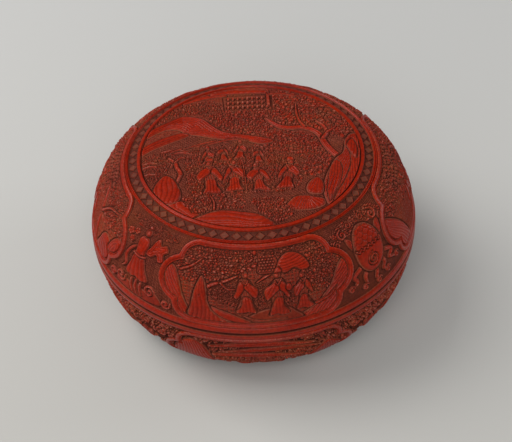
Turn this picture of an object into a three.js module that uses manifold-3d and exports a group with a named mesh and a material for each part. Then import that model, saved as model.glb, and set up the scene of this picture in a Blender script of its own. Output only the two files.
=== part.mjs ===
// A round carved cinnabar lacquer box with a domed lid, in millimetres, +Z up.
// The origin is the centre of the foot, on the surface that the box stands on, and the front faces -Y.
// Both halves are built up as such boxes are: planks and bent hoops of wood, a cloth and ash ground over
// them, a thick red coat that is carved, and black lacquer inside and underneath.
import * as THREE from "three";
import { mergeVertices } from "three/addons/utils/BufferGeometryUtils.js";
import Module from "manifold-3d";

// The outside of the box.
const rimRadius = 150; // at the joint between the two halves, the widest place
const lidRise = 80; // from the joint to the crown of the lid
const baseDrop = 70; // from the joint to the middle of the base, without its foot
const footClearance = 6; // from the middle of the base down to the surface that the box stands on
const jointGap = 0.3; // the fine line between the closed halves

// A half's outline is (r / rimRadius) ^ sidePower + (z / rise) ^ crownPower = 1: almost flat on the
// crown, round at the shoulder and upright at the joint. The base has the fuller shoulder.
const lidSidePower = 6;
const lidCrownPower = 1.8;
const baseSidePower = 10;
const baseCrownPower = 1.6;

// The layers of the wall, from the outside in.
const carvedCoat = 4; // red lacquer, from the bed to the full height of the carving
const clothGround = 0.8; // hemp cloth and ash that level the wood
const coreWall = 4.6; // planks and hoops
const innerCoat = 1; // black lacquer
const bondGap = 0.3; // between neighbouring layers

// The plain borders round the carved fields. The carving comes up to just below them, and the border of
// small diamonds on the lid lies lower.
const roundelRadius = 99; // the picture on the crown
const ringWidth = 3; // each of the two plain rings round the diamonds
const diamondBand = 8; // between those rings
const rimBand = 7; // on each side of the joint
const footBorder = 4; // round the base, next to the foot
const fieldSink = 0.4;
const diamondSink = 1.2;
const rimChamfer = 0.7;
const rimFlange = 1.6; // the red coat turned in under the edge of the wall at the joint

// The carving. Its ground lies deep, and rocks, trunks, figures and frames come up to the field.
const groundSink = 1.8;
const fieldEdge = 0.6; // left standing along the plain borders
const formReach = 10; // how far the solids that mark the forms out stand clear of the coat

// The side is laid out in four panels, each in a lobed frame, along a strip that runs round the box.
const stripRadius = 135; // where the strip is measured
const panelReach = 85; // half the length of a panel with its frame
const endLobe = 23;
const cornerLobe = 18;
const cornerSet = 9.5; // how far the corner lobes stand in from the end lobes
const frameWidth = 5.6;
const panels = 4;
const lobeSteps = 2; // in each arc of a panel's outline

// The wood core: planks across the crown, and hoops below them.
const lidHoops = 4;
const baseHoops = 3;
const plankDish = 22; // how far the dished planks come down at their edge
const plankWidth = 84; // the middle one of the three in each half

// The lip that stands up inside the closed lid.
const lipHeight = 9; // above the joint
const lipDepth = 14; // below it, where it is glued to the base
const lipWall = 3.2;
const lipClearance = 0.5; // to the inside of the lid
const lipChamfer = 0.8;

// The foot ring: a wood hoop in a red coat.
const footRadius = 106;
const footCoat = 1.2;
const footHoop = 5.2;

const segments = 32;
const wallSteps = 8; // from the crown to the joint
const quarterTurn = Math.PI / 2;
const halvings = 40; // each one doubles how closely a place on an outline is found

const cinnabar = new THREE.MeshStandardMaterial({ color: 0xa3200f, roughness: 0.42, metalness: 0 });
const ground = new THREE.MeshStandardMaterial({ color: 0x6b5a46, roughness: 0.95, metalness: 0 });
const wood = new THREE.MeshStandardMaterial({ color: 0xb98f5d, roughness: 0.8, metalness: 0 });
const blackLacquer = new THREE.MeshStandardMaterial({ color: 0x15100e, roughness: 0.25, metalness: 0 });

const wasm = await Module();
wasm.setup();

// How deep under the outline each layer starts and ends.
const groundOuter = carvedCoat + bondGap;
const groundInner = groundOuter + clothGround;
const coreOuter = groundInner + bondGap;
const coreInner = coreOuter + coreWall;
const liningOuter = coreInner + bondGap;
const liningInner = liningOuter + innerCoat;

const jointHeight = baseDrop + footClearance;
const lidShell = {
  rise: lidRise,
  way: 1,
  joint: jointHeight + jointGap,
  sidePower: lidSidePower,
  crownPower: lidCrownPower,
};
const baseShell = {
  rise: baseDrop,
  way: -1,
  joint: jointHeight,
  sidePower: baseSidePower,
  crownPower: baseCrownPower,
};

const at = (r, z) => new THREE.Vector2(r, z);

// A point of a half's outline, moved inward by depth. The share runs from 0 on the axis to 1 at the
// joint, and its square spaces the points evenly along the wall.
function onCurve(shell, share, depth) {
  const { sidePower, crownPower } = shell;
  const angle = quarterTurn * share ** 2;
  const r = Math.sin(angle) ** (2 / sidePower);
  const h = Math.cos(angle) ** (2 / crownPower);
  const normal = new THREE.Vector2(
    (sidePower / rimRadius) * r ** (sidePower - 1),
    (crownPower / shell.rise) * h ** (crownPower - 1),
  ).normalize();
  return at(r * rimRadius - depth * normal.x, shell.joint + shell.way * (h * shell.rise - depth * normal.y));
}

// The same on the straight steps between the corners, which every layer shares, so that layers never
// cut into each other.
function onShell(shell, share, depth) {
  const step = Math.min(Math.floor(share * wallSteps), wallSteps - 1);
  const [start, end] = [step, step + 1].map((corner) => onCurve(shell, corner / wallSteps, depth));
  return start.lerp(end, share * wallSteps - step);
}

// The share at which holds turns from true, at the crown, to false.
function shareWhere(holds) {
  let low = 0;
  let high = 1;
  for (let i = 0; i < halvings; i++) {
    const middle = (low + high) / 2;
    if (holds(middle)) low = middle;
    else high = middle;
  }
  return high;
}

function shareAtHeight(shell, depth, height) {
  return shareWhere((share) => shell.way * (onShell(shell, share, depth).y - shell.joint) > height);
}

function shareAtRadius(shell, depth, radius) {
  return shareWhere((share) => onShell(shell, share, depth).x < radius);
}

// The points of an outline at one depth between two shares, with the corners that lie between them.
function along(shell, from, to, depth) {
  const tooShortShare = 0.004;
  const corners = Array.from({ length: wallSteps - 1 }, (_, i) => (i + 1) / wallSteps);
  const [low, high] = [Math.min(from, to), Math.max(from, to)];
  const between = corners.filter((corner) => corner > low + tooShortShare && corner < high - tooShortShare);
  if (from > to) between.reverse();
  return [from, ...between, to].map((share) => onShell(shell, share, depth));
}

// Turns an outline about the Z axis. An outline that starts on the axis ends on it too, and any other is
// closed here.
function turnedGeometry(outline) {
  const closed = outline[0].x === 0 ? [...outline] : [...outline, outline[0]];
  if (THREE.ShapeUtils.area(outline) < 0) closed.reverse();
  return new THREE.LatheGeometry(closed, segments).rotateX(quarterTurn);
}

function named(name, geometry, material) {
  const mesh = new THREE.Mesh(geometry, material);
  mesh.name = name;
  return mesh;
}

function turned(name, outline, material) {
  return named(name, turnedGeometry(outline), material);
}

function solidFrom(geometry) {
  const bare = geometry.clone();
  bare.deleteAttribute("normal");
  bare.deleteAttribute("uv");
  const merged = mergeVertices(bare);
  const mesh = new wasm.Mesh({
    numProp: 3,
    vertProperties: merged.attributes.position.array,
    triVerts: new Uint32Array(merged.index.array),
  });
  return new wasm.Manifold(mesh);
}

function geometryFrom(solid) {
  const mesh = solid.getMesh();
  return new THREE.BufferGeometry()
    .setAttribute("position", new THREE.BufferAttribute(mesh.vertProperties, 3))
    .setIndex(new THREE.BufferAttribute(mesh.triVerts, 1));
}

// The plain band beside the joint, with its edge broken, and the flange behind it that covers the edges
// of the layers: from the carved field round to the bed.
function rimOutline(shell) {
  const bandTop = shareAtHeight(shell, 0, rimBand);
  const flangeEdge = rimRadius - liningOuter + bondGap;
  return [
    onShell(shell, bandTop, fieldSink),
    onShell(shell, bandTop, 0),
    at(rimRadius, shell.joint + shell.way * rimChamfer),
    at(rimRadius - rimChamfer, shell.joint),
    at(flangeEdge, shell.joint),
    at(flangeEdge, shell.joint + shell.way * rimFlange),
  ];
}

// The lid's red coat: the picture on the crown, two rings with the diamonds between them, the carved
// shoulder and the rim.
function lidCoat() {
  const shell = lidShell;
  const diamondsStart = roundelRadius + ringWidth;
  const diamondsEnd = diamondsStart + diamondBand;
  const shoulderStart = diamondsEnd + ringWidth;
  const edge = (radius, depth) => onShell(shell, shareAtRadius(shell, 0, radius), depth);
  const field = (from, to) => along(shell, from, to, fieldSink);
  return [
    ...field(0, shareAtRadius(shell, 0, roundelRadius)),
    edge(roundelRadius, 0),
    edge(diamondsStart, 0),
    edge(diamondsStart, diamondSink),
    edge(diamondsEnd, diamondSink),
    edge(diamondsEnd, 0),
    edge(shoulderStart, 0),
    ...field(shareAtRadius(shell, 0, shoulderStart), shareAtHeight(shell, 0, rimBand)).slice(0, -1),
    ...rimOutline(shell),
    ...along(shell, shareAtHeight(shell, carvedCoat, rimFlange), 0, carvedCoat),
  ];
}

// The base's red coat: the rim, the carved side and a plain border, next to the foot.
function baseCoat() {
  const shell = baseShell;
  const coatStart = footRadius + bondGap;
  const borderEnd = shareAtRadius(shell, 0, coatStart + footBorder);
  const bedEnd = shareAtHeight(shell, carvedCoat, rimFlange);
  return [
    onShell(shell, shareAtRadius(shell, 0, coatStart), 0),
    onShell(shell, borderEnd, 0),
    ...along(shell, borderEnd, shareAtHeight(shell, 0, rimBand), fieldSink).slice(0, -1),
    ...rimOutline(shell),
    ...along(shell, bedEnd, shareAtRadius(shell, carvedCoat, coatStart), carvedCoat),
  ];
}

// Closed bodies from a list of corners and the faces between them.
function solidOf(points, faces) {
  const geometry = new THREE.BufferGeometry().setFromPoints(points).setIndex(faces.flat());
  return solidFrom(geometry);
}

// The carved part of a side: between two shares, with the length of wall between them as its height.
function sideField(shell, start, end) {
  const runTo = (share) => {
    const points = along(shell, 0, share, 0);
    return points.slice(1).reduce((length, point, i) => length + point.distanceTo(points[i]), 0);
  };
  return { shell, start, end, runTo, startRun: runTo(start), height: runTo(end) - runTo(start) };
}

// A place on the strip, this far under the wall's surface. Across is measured round to the right from the
// front, and up from the lower edge of the carving.
function onSide(field, across, up, depth) {
  const { shell, runTo, startRun, height } = field;
  const run = startRun + (shell.way > 0 ? height - up : up);
  const place = onShell(shell, shareWhere((share) => runTo(share) < run), depth);
  const angle = across / stripRadius;
  return new THREE.Vector3(place.x * Math.sin(angle), -place.x * Math.cos(angle), place.y);
}

const markDepths = [-formReach, carvedCoat];
const loop = (count, face) => Array.from({ length: count }, (_, i) => face(i, (i + 1) % count)).flat();

// Marks out a form on a side, through the coat.
function sideForm(field, outline) {
  const flat = outline.map(([across, up]) => at(across, up));
  if (THREE.ShapeUtils.isClockWise(flat)) flat.reverse();
  const count = flat.length;
  const points = markDepths.flatMap((depth) => flat.map((place) => onSide(field, place.x, place.y, depth)));
  const cap = THREE.ShapeUtils.triangulateShape(flat, []);
  const floor = cap.map(([a, b, c]) => [c, b, a].map((corner) => corner + count));
  const walls = loop(count, (i, j) => [
    [i, i + count, j + count],
    [i, j + count, j],
  ]);
  return solidOf(points, [...cap, ...floor, ...walls]);
}

// Marks out a band between two outlines that have as many points.
function sideBand(field, outer, inner) {
  const count = outer.length;
  const points = [outer, inner].flatMap((outline) =>
    markDepths.flatMap((depth) => outline.map(([across, up]) => onSide(field, across, up, depth))),
  );
  const [a, b, c, d] = [0, 1, 2, 3].map((ring) => ring * count);
  const faces = loop(count, (i, j) => [
    [a + i, b + i, b + j],
    [a + i, b + j, a + j],
    [c + i, c + j, d + j],
    [c + i, d + j, d + i],
    [a + i, a + j, c + j],
    [a + i, c + j, c + i],
    [b + i, d + i, d + j],
    [b + i, d + j, b + j],
  ]);
  return solidOf(points, faces);
}

// The outline of a panel about its middle, this far inside the outer edge of its frame: a round lobe at
// each end, and a smaller one at each corner.
function lobedOutline(half, inset) {
  const end = { x: panelReach - endLobe, y: 0, radius: endLobe - inset };
  const corner = { x: end.x - cornerSet, y: half - cornerLobe, radius: cornerLobe - inset };
  const apart = Math.hypot(end.x - corner.x, corner.y);
  const lean = Math.atan2(corner.y, corner.x - end.x);
  // Where the panel is so high that the lobes stand apart, a straight piece joins them.
  const apartBy = (near, far) => (near.radius ** 2 + apart ** 2 - far.radius ** 2) / (2 * near.radius * apart);
  const angleAt = (near, far) => (apart < near.radius + far.radius ? Math.acos(apartBy(near, far)) : 0);
  const arc = (lobe, from, to) =>
    Array.from({ length: lobeSteps + 1 }, (_, i) => {
      const angle = THREE.MathUtils.lerp(from, to, i / lobeSteps);
      return [lobe.x + lobe.radius * Math.cos(angle), lobe.y + lobe.radius * Math.sin(angle)];
    });
  const quarter = [
    ...arc(end, 0, lean - angleAt(end, corner)),
    ...arc(corner, lean - Math.PI + angleAt(corner, end), quarterTurn).slice(1),
    [0, half - inset],
  ];
  const mirrored = (outline, x, y) => outline.map((place) => [place[0] * x, place[1] * y]);
  const back = [...quarter].reverse();
  return [
    ...quarter,
    ...mirrored(back, -1, 1).slice(1),
    ...mirrored(quarter, -1, -1).slice(1),
    ...mirrored(back, 1, -1).slice(1, -1),
  ];
}

// A robed figure that stands with its hands in its sleeves, as shares of its height.
const figureShares = [[-0.18, 0], [0.18, 0], [0.24, 0.5], [0.07, 1], [-0.07, 1], [-0.24, 0.5]];
const figure = (x, y, tall) => figureShares.map((place) => [x + place[0] * tall, y + place[1] * tall]);

// The picture on the crown, as shares of its radius: rocks, trunks and roofs by their outlines or by the
// line along their middle, and figures by the place and height of each.
const crownRockShares = [
  [
    [-1, 0.04], [-0.88, 0.1], [-0.73, 0.17], [-0.62, 0.23], [-0.47, 0.25], [-0.3, 0.19], [-0.07, 0.16],
    [0.08, 0.09], [0.19, 0.1], [0.2, 0.15], [0, 0.22], [-0.22, 0.27], [-0.33, 0.38], [-0.41, 0.48],
    [-0.52, 0.53], [-0.62, 0.55], [-0.74, 0.49], [-0.87, 0.42], [-0.98, 0.34],
  ],
  [
    [-0.79, -0.3], [-0.87, -0.42], [-0.86, -0.58], [-0.72, -0.76], [-0.54, -0.86], [-0.61, -0.64],
    [-0.68, -0.36],
  ],
  [[-0.52, -0.87], [-0.3, -1], [0, -1.03], [0.22, -0.99], [0.08, -0.85], [-0.1, -0.79], [-0.28, -0.76]],
  [[0.29, -0.78], [0.45, -0.8], [0.62, -0.74], [0.61, -0.66], [0.45, -0.62], [0.35, -0.63]],
  [[0.48, -0.6], [0.61, -0.61], [0.62, -0.47], [0.58, -0.4], [0.51, -0.43], [0.47, -0.5]],
  [[0.66, -0.7], [0.78, -0.48], [0.81, -0.24], [0.74, -0.18], [0.68, -0.32], [0.65, -0.5]],
  [
    [0.7, -0.74], [0.9, -0.54], [1.02, -0.2], [1, 0.2], [0.88, 0.18], [0.83, 0.06], [0.87, -0.14],
    [0.8, -0.46],
  ],
];
const crownTrunkShares = [
  [[0.16, 0.44], [0.27, 0.32], [0.45, 0.31], [0.6, 0.24], [0.66, 0.08], [0.8, -0.15]],
  [[0.65, 0.16], [0.7, 0.24], [0.66, 0.34], [0.6, 0.39]],
  [[-0.72, -0.06], [-0.67, -0.14], [-0.63, -0.26], [-0.66, -0.42]],
  [[-0.56, 0.79], [-0.38, 0.85], [-0.2, 0.88], [0.1, 0.89]],
];
const trunkWidth = 5.6;
const crownFigureShares = [
  [-0.35, -0.54, 0.42], [-0.15, -0.53, 0.41], [0.06, -0.54, 0.36], [0.26, -0.53, 0.35],
  [-0.39, -0.13, 0.2], [-0.24, -0.09, 0.19], [-0.09, -0.04, 0.2], [0.07, -0.14, 0.18],
];

// The side panels, as shares of a panel's half length, from its middle, and of the carving's height.
const gardenShares = {
  rocks: [
    [[-0.93, 0.42], [-0.82, 0.2], [-0.7, 0.04], [-0.6, 0.05], [-0.72, 0.34], [-0.82, 0.6], [-0.9, 0.64]],
    [[-0.64, 0.05], [-0.2, 0.05], [-0.42, 0.2], [-0.48, 0.44], [-0.55, 0.6], [-0.62, 0.42]],
    [[0.34, 0.05], [0.82, 0.05], [0.96, 0.4], [0.93, 0.58], [0.84, 0.58], [0.64, 0.26]],
    [[0.2, 0.66], [0.34, 0.6], [0.53, 0.62], [0.5, 0.76], [0.38, 0.84], [0.26, 0.82]],
  ],
  figures: [[-0.08, 0.2, 0.46], [0.2, 0.17, 0.5], [0.44, 0.2, 0.38]],
};
const groveShares = {
  rocks: [
    [[-0.97, 0.3], [-0.7, 0.05], [-0.5, 0.05], [-0.58, 0.3], [-0.74, 0.5], [-0.95, 0.62]],
    [[0.46, 0.05], [0.86, 0.05], [0.84, 0.28], [0.7, 0.4], [0.56, 0.36]],
    [
      [0.34, 0.1], [0.46, 0.12], [0.44, 0.5], [0.34, 0.68], [0.2, 0.78], [0.14, 0.72], [0.28, 0.6],
      [0.36, 0.4],
    ],
  ],
  figures: [[-0.18, 0.14, 0.48], [0.1, 0.14, 0.44]],
};

const shoreShares = {
  rocks: [
    [[-0.92, 0.46], [-0.7, 0.06], [-0.42, 0.08], [-0.56, 0.6], [-0.76, 0.84]],
    [[-0.3, 0.06], [0.34, 0.06], [0.22, 0.38], [0, 0.22], [-0.18, 0.36]],
    [[0.5, 0.06], [0.74, 0.06], [0.9, 0.46], [0.72, 0.72], [0.54, 0.5]],
  ],
  figures: [],
};

// What stands between the panels, from the middle of the gap: a round jar with a tall stopper over low
// flames, a robed dancer with floating scarves, and on the base a cloud.
const jarShares = [
  [[-0.12, 0.22], [0.12, 0.22], [0.19, 0.48], [0.12, 0.7], [0, 0.88], [-0.12, 0.7], [-0.19, 0.48]],
  [[-0.32, 0.04], [0.32, 0.04], [0.24, 0.24], [0.1, 0.14], [-0.1, 0.14], [-0.24, 0.24]],
];
const dancerShares = [
  [
    [-0.17, 0.24], [0.17, 0.24], [0.08, 0.5], [0.3, 0.72], [0.14, 0.8], [0.04, 0.74], [0.03, 0.88],
    [-0.03, 0.88], [-0.04, 0.74], [-0.2, 0.78], [-0.28, 0.68], [-0.08, 0.5],
  ],
  [[-0.32, 0.04], [0.32, 0.04], [0.2, 0.2], [0, 0.14], [-0.2, 0.2]],
];
const cloudShares = [[[-0.14, 0.06], [0.14, 0.06], [0.24, 0.44], [0, 0.7], [-0.24, 0.44]]];

// A band of this width along a line, as an outline.
function ribbon(line, width) {
  const side = (turn) =>
    line.map(([x, y], i) => {
      const [before, after] = [line[Math.max(i - 1, 0)], line[Math.min(i + 1, line.length - 1)]];
      const ahead = at(after[0] - before[0], after[1] - before[1]).setLength((turn * width) / 2);
      return [x - ahead.y, y + ahead.x];
    });
  return [...side(1), ...side(-1).reverse()];
}

// Marks out a form on the crown, down through the coat.
function crownForm(outline) {
  const shape = new THREE.Shape(outline.map(([x, y]) => at(x, y)));
  const depth = lidRise + formReach;
  const geometry = new THREE.ExtrudeGeometry(shape, { depth, bevelEnabled: false });
  return solidFrom(geometry.translate(0, 0, lidShell.joint));
}

// Cuts the coat down to the ground between two shares of the wall, round the forms marked out there.
function carve(coat, shell, start, end, forms) {
  const above = along(shell, start, end, -formReach);
  const open = solidFrom(turnedGeometry([...above, ...along(shell, end, start, groundSink)]));
  return coat.subtract(forms.reduce((rest, form) => rest.subtract(form), open));
}

function carveCrown(coat) {
  const full = (outline) => outline.map((place) => place.map((share) => share * roundelRadius));
  const outlines = [
    ...crownRockShares.map(full),
    ...crownTrunkShares.map((line) => ribbon(full(line), trunkWidth)),
    ...full(crownFigureShares).map(([x, y, tall]) => figure(x, y, tall)),
  ];
  const end = shareAtRadius(lidShell, 0, roundelRadius - fieldEdge);
  return carve(coat, lidShell, 0, end, outlines.map(crownForm));
}

// Carves a side: the panels in turn from the front round to the right, and what stands between them.
function carveSide(coat, field, scenes, corners) {
  const pitch = (2 * Math.PI * stripRadius) / scenes.length;
  const half = field.height / 2;
  const forms = scenes.flatMap((scene, i) => {
    const middle = i * pitch;
    const place = (from) => ([x, y]) => [from + x * panelReach, y * field.height];
    const figures = scene.figures.map(([x, y, tall]) =>
      figure(...place(middle)([x, y]), tall * field.height),
    );
    const rocks = scene.rocks.map((outline) => outline.map(place(middle)));
    const corner = corners[i % corners.length].map((outline) => outline.map(place(middle + pitch / 2)));
    const [outer, inner] = [0, frameWidth].map((inset) =>
      lobedOutline(half, inset).map(([x, y]) => [middle + x, half + y]),
    );
    return [
      sideBand(field, outer, inner),
      ...[...rocks, ...figures, ...corner].map((outline) => sideForm(field, outline)),
    ];
  });
  const edge = fieldEdge / field.height;
  const [start, end] = [edge, 1 - edge].map((share) => THREE.MathUtils.lerp(field.start, field.end, share));
  return carve(coat, field.shell, start, end, forms);
}

function lidCarving() {
  const shoulderStart = shareAtRadius(lidShell, 0, roundelRadius + 2 * ringWidth + diamondBand);
  const field = sideField(lidShell, shoulderStart, shareAtHeight(lidShell, 0, rimBand));
  const coat = carveCrown(solidFrom(turnedGeometry(lidCoat())));
  const scenes = Array.from({ length: panels }, (_, i) => (i % 2 ? groveShares : gardenShares));
  return geometryFrom(carveSide(coat, field, scenes, [jarShares, dancerShares]));
}

function baseCarving() {
  const start = shareAtRadius(baseShell, 0, footRadius + bondGap + footBorder);
  const field = sideField(baseShell, start, shareAtHeight(baseShell, 0, rimBand));
  const coat = solidFrom(turnedGeometry(baseCoat()));
  return geometryFrom(carveSide(coat, field, Array(panels).fill(shoreShares), [cloudShares]));
}

// A layer of even thickness, from a radius, or the axis, to a height above the joint.
function layer(shell, outer, inner, startRadius, endHeight) {
  const start = (depth) => (startRadius > 0 ? shareAtRadius(shell, depth, startRadius) : 0);
  const end = (depth) => (endHeight > 0 ? shareAtHeight(shell, depth, endHeight) : 1);
  return [
    ...along(shell, start(outer), end(outer), outer),
    ...along(shell, end(inner), start(inner), inner),
  ];
}

// The bent hoops between the flange of the rim and the planks, stacked and shaved to the curve.
function hoops(prefix, shell, count) {
  const low = rimFlange + bondGap;
  const pitch = (shell.rise - plankDish - low) / count;
  const strip = (depth, from, to) =>
    along(shell, shareAtHeight(shell, depth, from), shareAtHeight(shell, depth, to), depth);
  return Array.from({ length: count }, (_, i) => {
    const [bottom, top] = [low + i * pitch, low + (i + 1) * pitch - bondGap];
    const outline = [...strip(coreOuter, bottom, top), ...strip(coreInner, top, bottom)];
    return turned(`${prefix}_hoop_${i + 1}`, outline, wood);
  });
}

// The dished board that closes a half, turned from three planks that are glued side by side.
function planks(prefix, shell) {
  const board = solidFrom(turnedGeometry(layer(shell, coreOuter, coreInner, 0, shell.rise - plankDish)));
  const span = 2 * rimRadius;
  const cut = (from, to) => {
    const box = new THREE.BoxGeometry(to - from, span, span).translate((from + to) / 2, 0, shell.joint);
    return geometryFrom(board.intersect(solidFrom(box)));
  };
  const edge = plankWidth / 2;
  return [
    named(`${prefix}_plank_left`, cut(-span, -edge), wood),
    named(`${prefix}_plank_middle`, cut(bondGap - edge, edge - bondGap), wood),
    named(`${prefix}_plank_right`, cut(edge, span), wood),
  ];
}

// The lip: straight inside. Outside it fills the place of the lining below the joint, and above it stands
// in from the wall, so that the lid slides over it.
function lip() {
  const lidInside = onShell(lidShell, shareAtHeight(lidShell, liningInner, lipHeight), liningInner).x;
  const outer = lidInside - lipClearance;
  const inner = outer - lipWall;
  const top = jointHeight + lipHeight;
  return [
    at(inner, jointHeight - lipDepth),
    ...along(baseShell, shareAtHeight(baseShell, liningOuter, lipDepth), 1, liningOuter),
    at(outer, jointHeight),
    at(outer, top - lipChamfer),
    at(outer - lipChamfer, top),
    at(inner + lipChamfer, top),
    at(inner, top - lipChamfer),
  ];
}

// The foot: a hoop glued under the planks, and its coat wrapped round it down to the table. The black
// coat under the planks ends against the hoop.
function foot() {
  const hoopOuter = footRadius - footCoat - bondGap;
  const hoopInner = hoopOuter - footHoop;
  const coatOuter = footRadius - footCoat;
  const coatInner = hoopInner - bondGap;
  const footInside = coatInner - footCoat;
  const hoopBottom = footCoat + bondGap;
  const seat = coreOuter - bondGap;
  const onSeat = (radius, depth) => onShell(baseShell, shareAtRadius(baseShell, depth, radius), depth);
  const undersideFace = seat - innerCoat;
  const coatTop = onSeat(footInside, undersideFace).y - bondGap;
  const hoopOutline = [
    at(hoopInner, hoopBottom),
    at(hoopOuter, hoopBottom),
    onSeat(hoopOuter, seat),
    onSeat(hoopInner, seat),
  ];
  const coatOutline = [
    at(footInside, 0),
    at(footRadius, 0),
    at(footRadius, coatTop),
    at(coatOuter, coatTop),
    at(coatOuter, footCoat),
    at(coatInner, footCoat),
    at(coatInner, coatTop),
    at(footInside, coatTop),
  ];
  const underside = [
    ...along(baseShell, 0, shareAtRadius(baseShell, undersideFace, coatInner), undersideFace),
    ...along(baseShell, shareAtRadius(baseShell, seat, coatInner), 0, seat),
  ];
  return [
    turned("base_foot_hoop", hoopOutline, wood),
    turned("base_foot_lacquer", coatOutline, cinnabar),
    turned("base_underside_lacquer", underside, blackLacquer),
  ];
}

function lid() {
  const group = new THREE.Group();
  const clothOutline = layer(lidShell, groundOuter, groundInner, 0, rimFlange + bondGap);
  const liningOutline = layer(lidShell, liningOuter, liningInner, 0, 0);
  group.add(
    named("lid_carved_lacquer", lidCarving(), cinnabar),
    turned("lid_cloth_ground", clothOutline, ground),
    ...planks("lid", lidShell),
    ...hoops("lid", lidShell, lidHoops),
    turned("lid_inner_lacquer", liningOutline, blackLacquer),
  );
  return group;
}

function base() {
  const group = new THREE.Group();
  const coatStart = footRadius + bondGap;
  const clothOutline = layer(baseShell, groundOuter, groundInner, coatStart, rimFlange + bondGap);
  const liningOutline = layer(baseShell, liningOuter, liningInner, 0, lipDepth + bondGap);
  group.add(
    named("base_carved_lacquer", baseCarving(), cinnabar),
    turned("base_cloth_ground", clothOutline, ground),
    ...planks("base", baseShell),
    ...hoops("base", baseShell, baseHoops),
    turned("base_inner_lacquer", liningOutline, blackLacquer),
    turned("base_mouth_lip", lip(), blackLacquer),
    ...foot(),
  );
  return group;
}

const box = new THREE.Group();
box.add(lid(), base());

export default box;
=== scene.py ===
import math

import bpy
import numpy as np
from mathutils import Euler, Matrix, Vector


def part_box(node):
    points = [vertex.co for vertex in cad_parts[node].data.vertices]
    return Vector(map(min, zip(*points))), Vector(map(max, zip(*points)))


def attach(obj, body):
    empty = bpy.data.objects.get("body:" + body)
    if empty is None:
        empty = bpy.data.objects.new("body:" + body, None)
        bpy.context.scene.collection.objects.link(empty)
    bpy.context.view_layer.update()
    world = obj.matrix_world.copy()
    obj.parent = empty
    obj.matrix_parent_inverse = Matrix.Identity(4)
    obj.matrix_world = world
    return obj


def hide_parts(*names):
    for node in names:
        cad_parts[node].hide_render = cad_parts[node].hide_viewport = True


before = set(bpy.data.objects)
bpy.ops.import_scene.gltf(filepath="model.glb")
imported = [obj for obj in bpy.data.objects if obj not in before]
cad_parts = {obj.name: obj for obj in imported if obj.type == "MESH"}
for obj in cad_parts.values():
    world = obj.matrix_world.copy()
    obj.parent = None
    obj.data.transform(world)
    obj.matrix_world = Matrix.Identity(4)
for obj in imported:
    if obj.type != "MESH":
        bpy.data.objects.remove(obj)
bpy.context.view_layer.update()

# The table and the light. The box stands on a sheet of seamless pale paper, under a wide soft light from
# the left and behind, and weaker ones from the front and low down at the right. The camera looks down at
# it from the front.
mm = 0.001
rim_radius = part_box("lid_carved_lacquer")[1].x / mm
lid_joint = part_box("lid_carved_lacquer")[0].z / mm
base_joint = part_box("base_carved_lacquer")[1].z / mm

photo_width = 512  # in pixels, as are the next three
photo_centre = (256, 221)
joint_in_photo = (253.41, 215.69)  # where the centre of the joint lies
focal_length = 1247.8
camera_elevation = math.radians(42.32)
camera_tilt = math.radians(2.67)  # the photo's right side is turned up by this
camera_distance = 7.755 * rim_radius * mm
sensor = 36

camera = bpy.data.objects.new("camera", bpy.data.cameras.new("camera"))
camera.data.lens = focal_length / photo_width * sensor
camera.data.sensor_width = sensor
camera.data.shift_x = (photo_centre[0] - joint_in_photo[0]) / photo_width
camera.data.shift_y = (joint_in_photo[1] - photo_centre[1]) / photo_width
camera_height = base_joint * mm + camera_distance * math.sin(camera_elevation)
camera.location = (0, -camera_distance * math.cos(camera_elevation), camera_height)
looking_down = Euler((math.pi / 2 - camera_elevation, 0, 0)).to_matrix()
camera.rotation_euler = (looking_down @ Matrix.Rotation(-camera_tilt, 3, "Z")).to_euler()
bpy.context.scene.collection.objects.link(camera)
bpy.context.scene.camera = camera
bpy.context.scene.view_settings.view_transform = "Standard"

middle_of_box = Vector((0, 0, 0.08))


def soft_light(name, place, size, watts, colour):
    """A square light box that faces the middle of the box."""
    lamp = bpy.data.lights.new(name, "AREA")
    lamp.size = size
    lamp.energy = watts
    lamp.color = colour
    light = bpy.data.objects.new(name, lamp)
    light.location = place
    light.rotation_euler = (middle_of_box - Vector(place)).to_track_quat("-Z", "Y").to_euler()
    bpy.context.scene.collection.objects.link(light)


soft_light("key", (-1.5, 0.4, 1.85), 1.7, 44, (1.0, 0.98, 0.94))
soft_light("front", (-0.3, -1.95, 1.75), 1.8, 35, (1.0, 0.99, 0.97))
soft_light("right", (1.5, 0.4, 0.6), 0.8, 6, (0.97, 0.99, 1.0))


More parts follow.
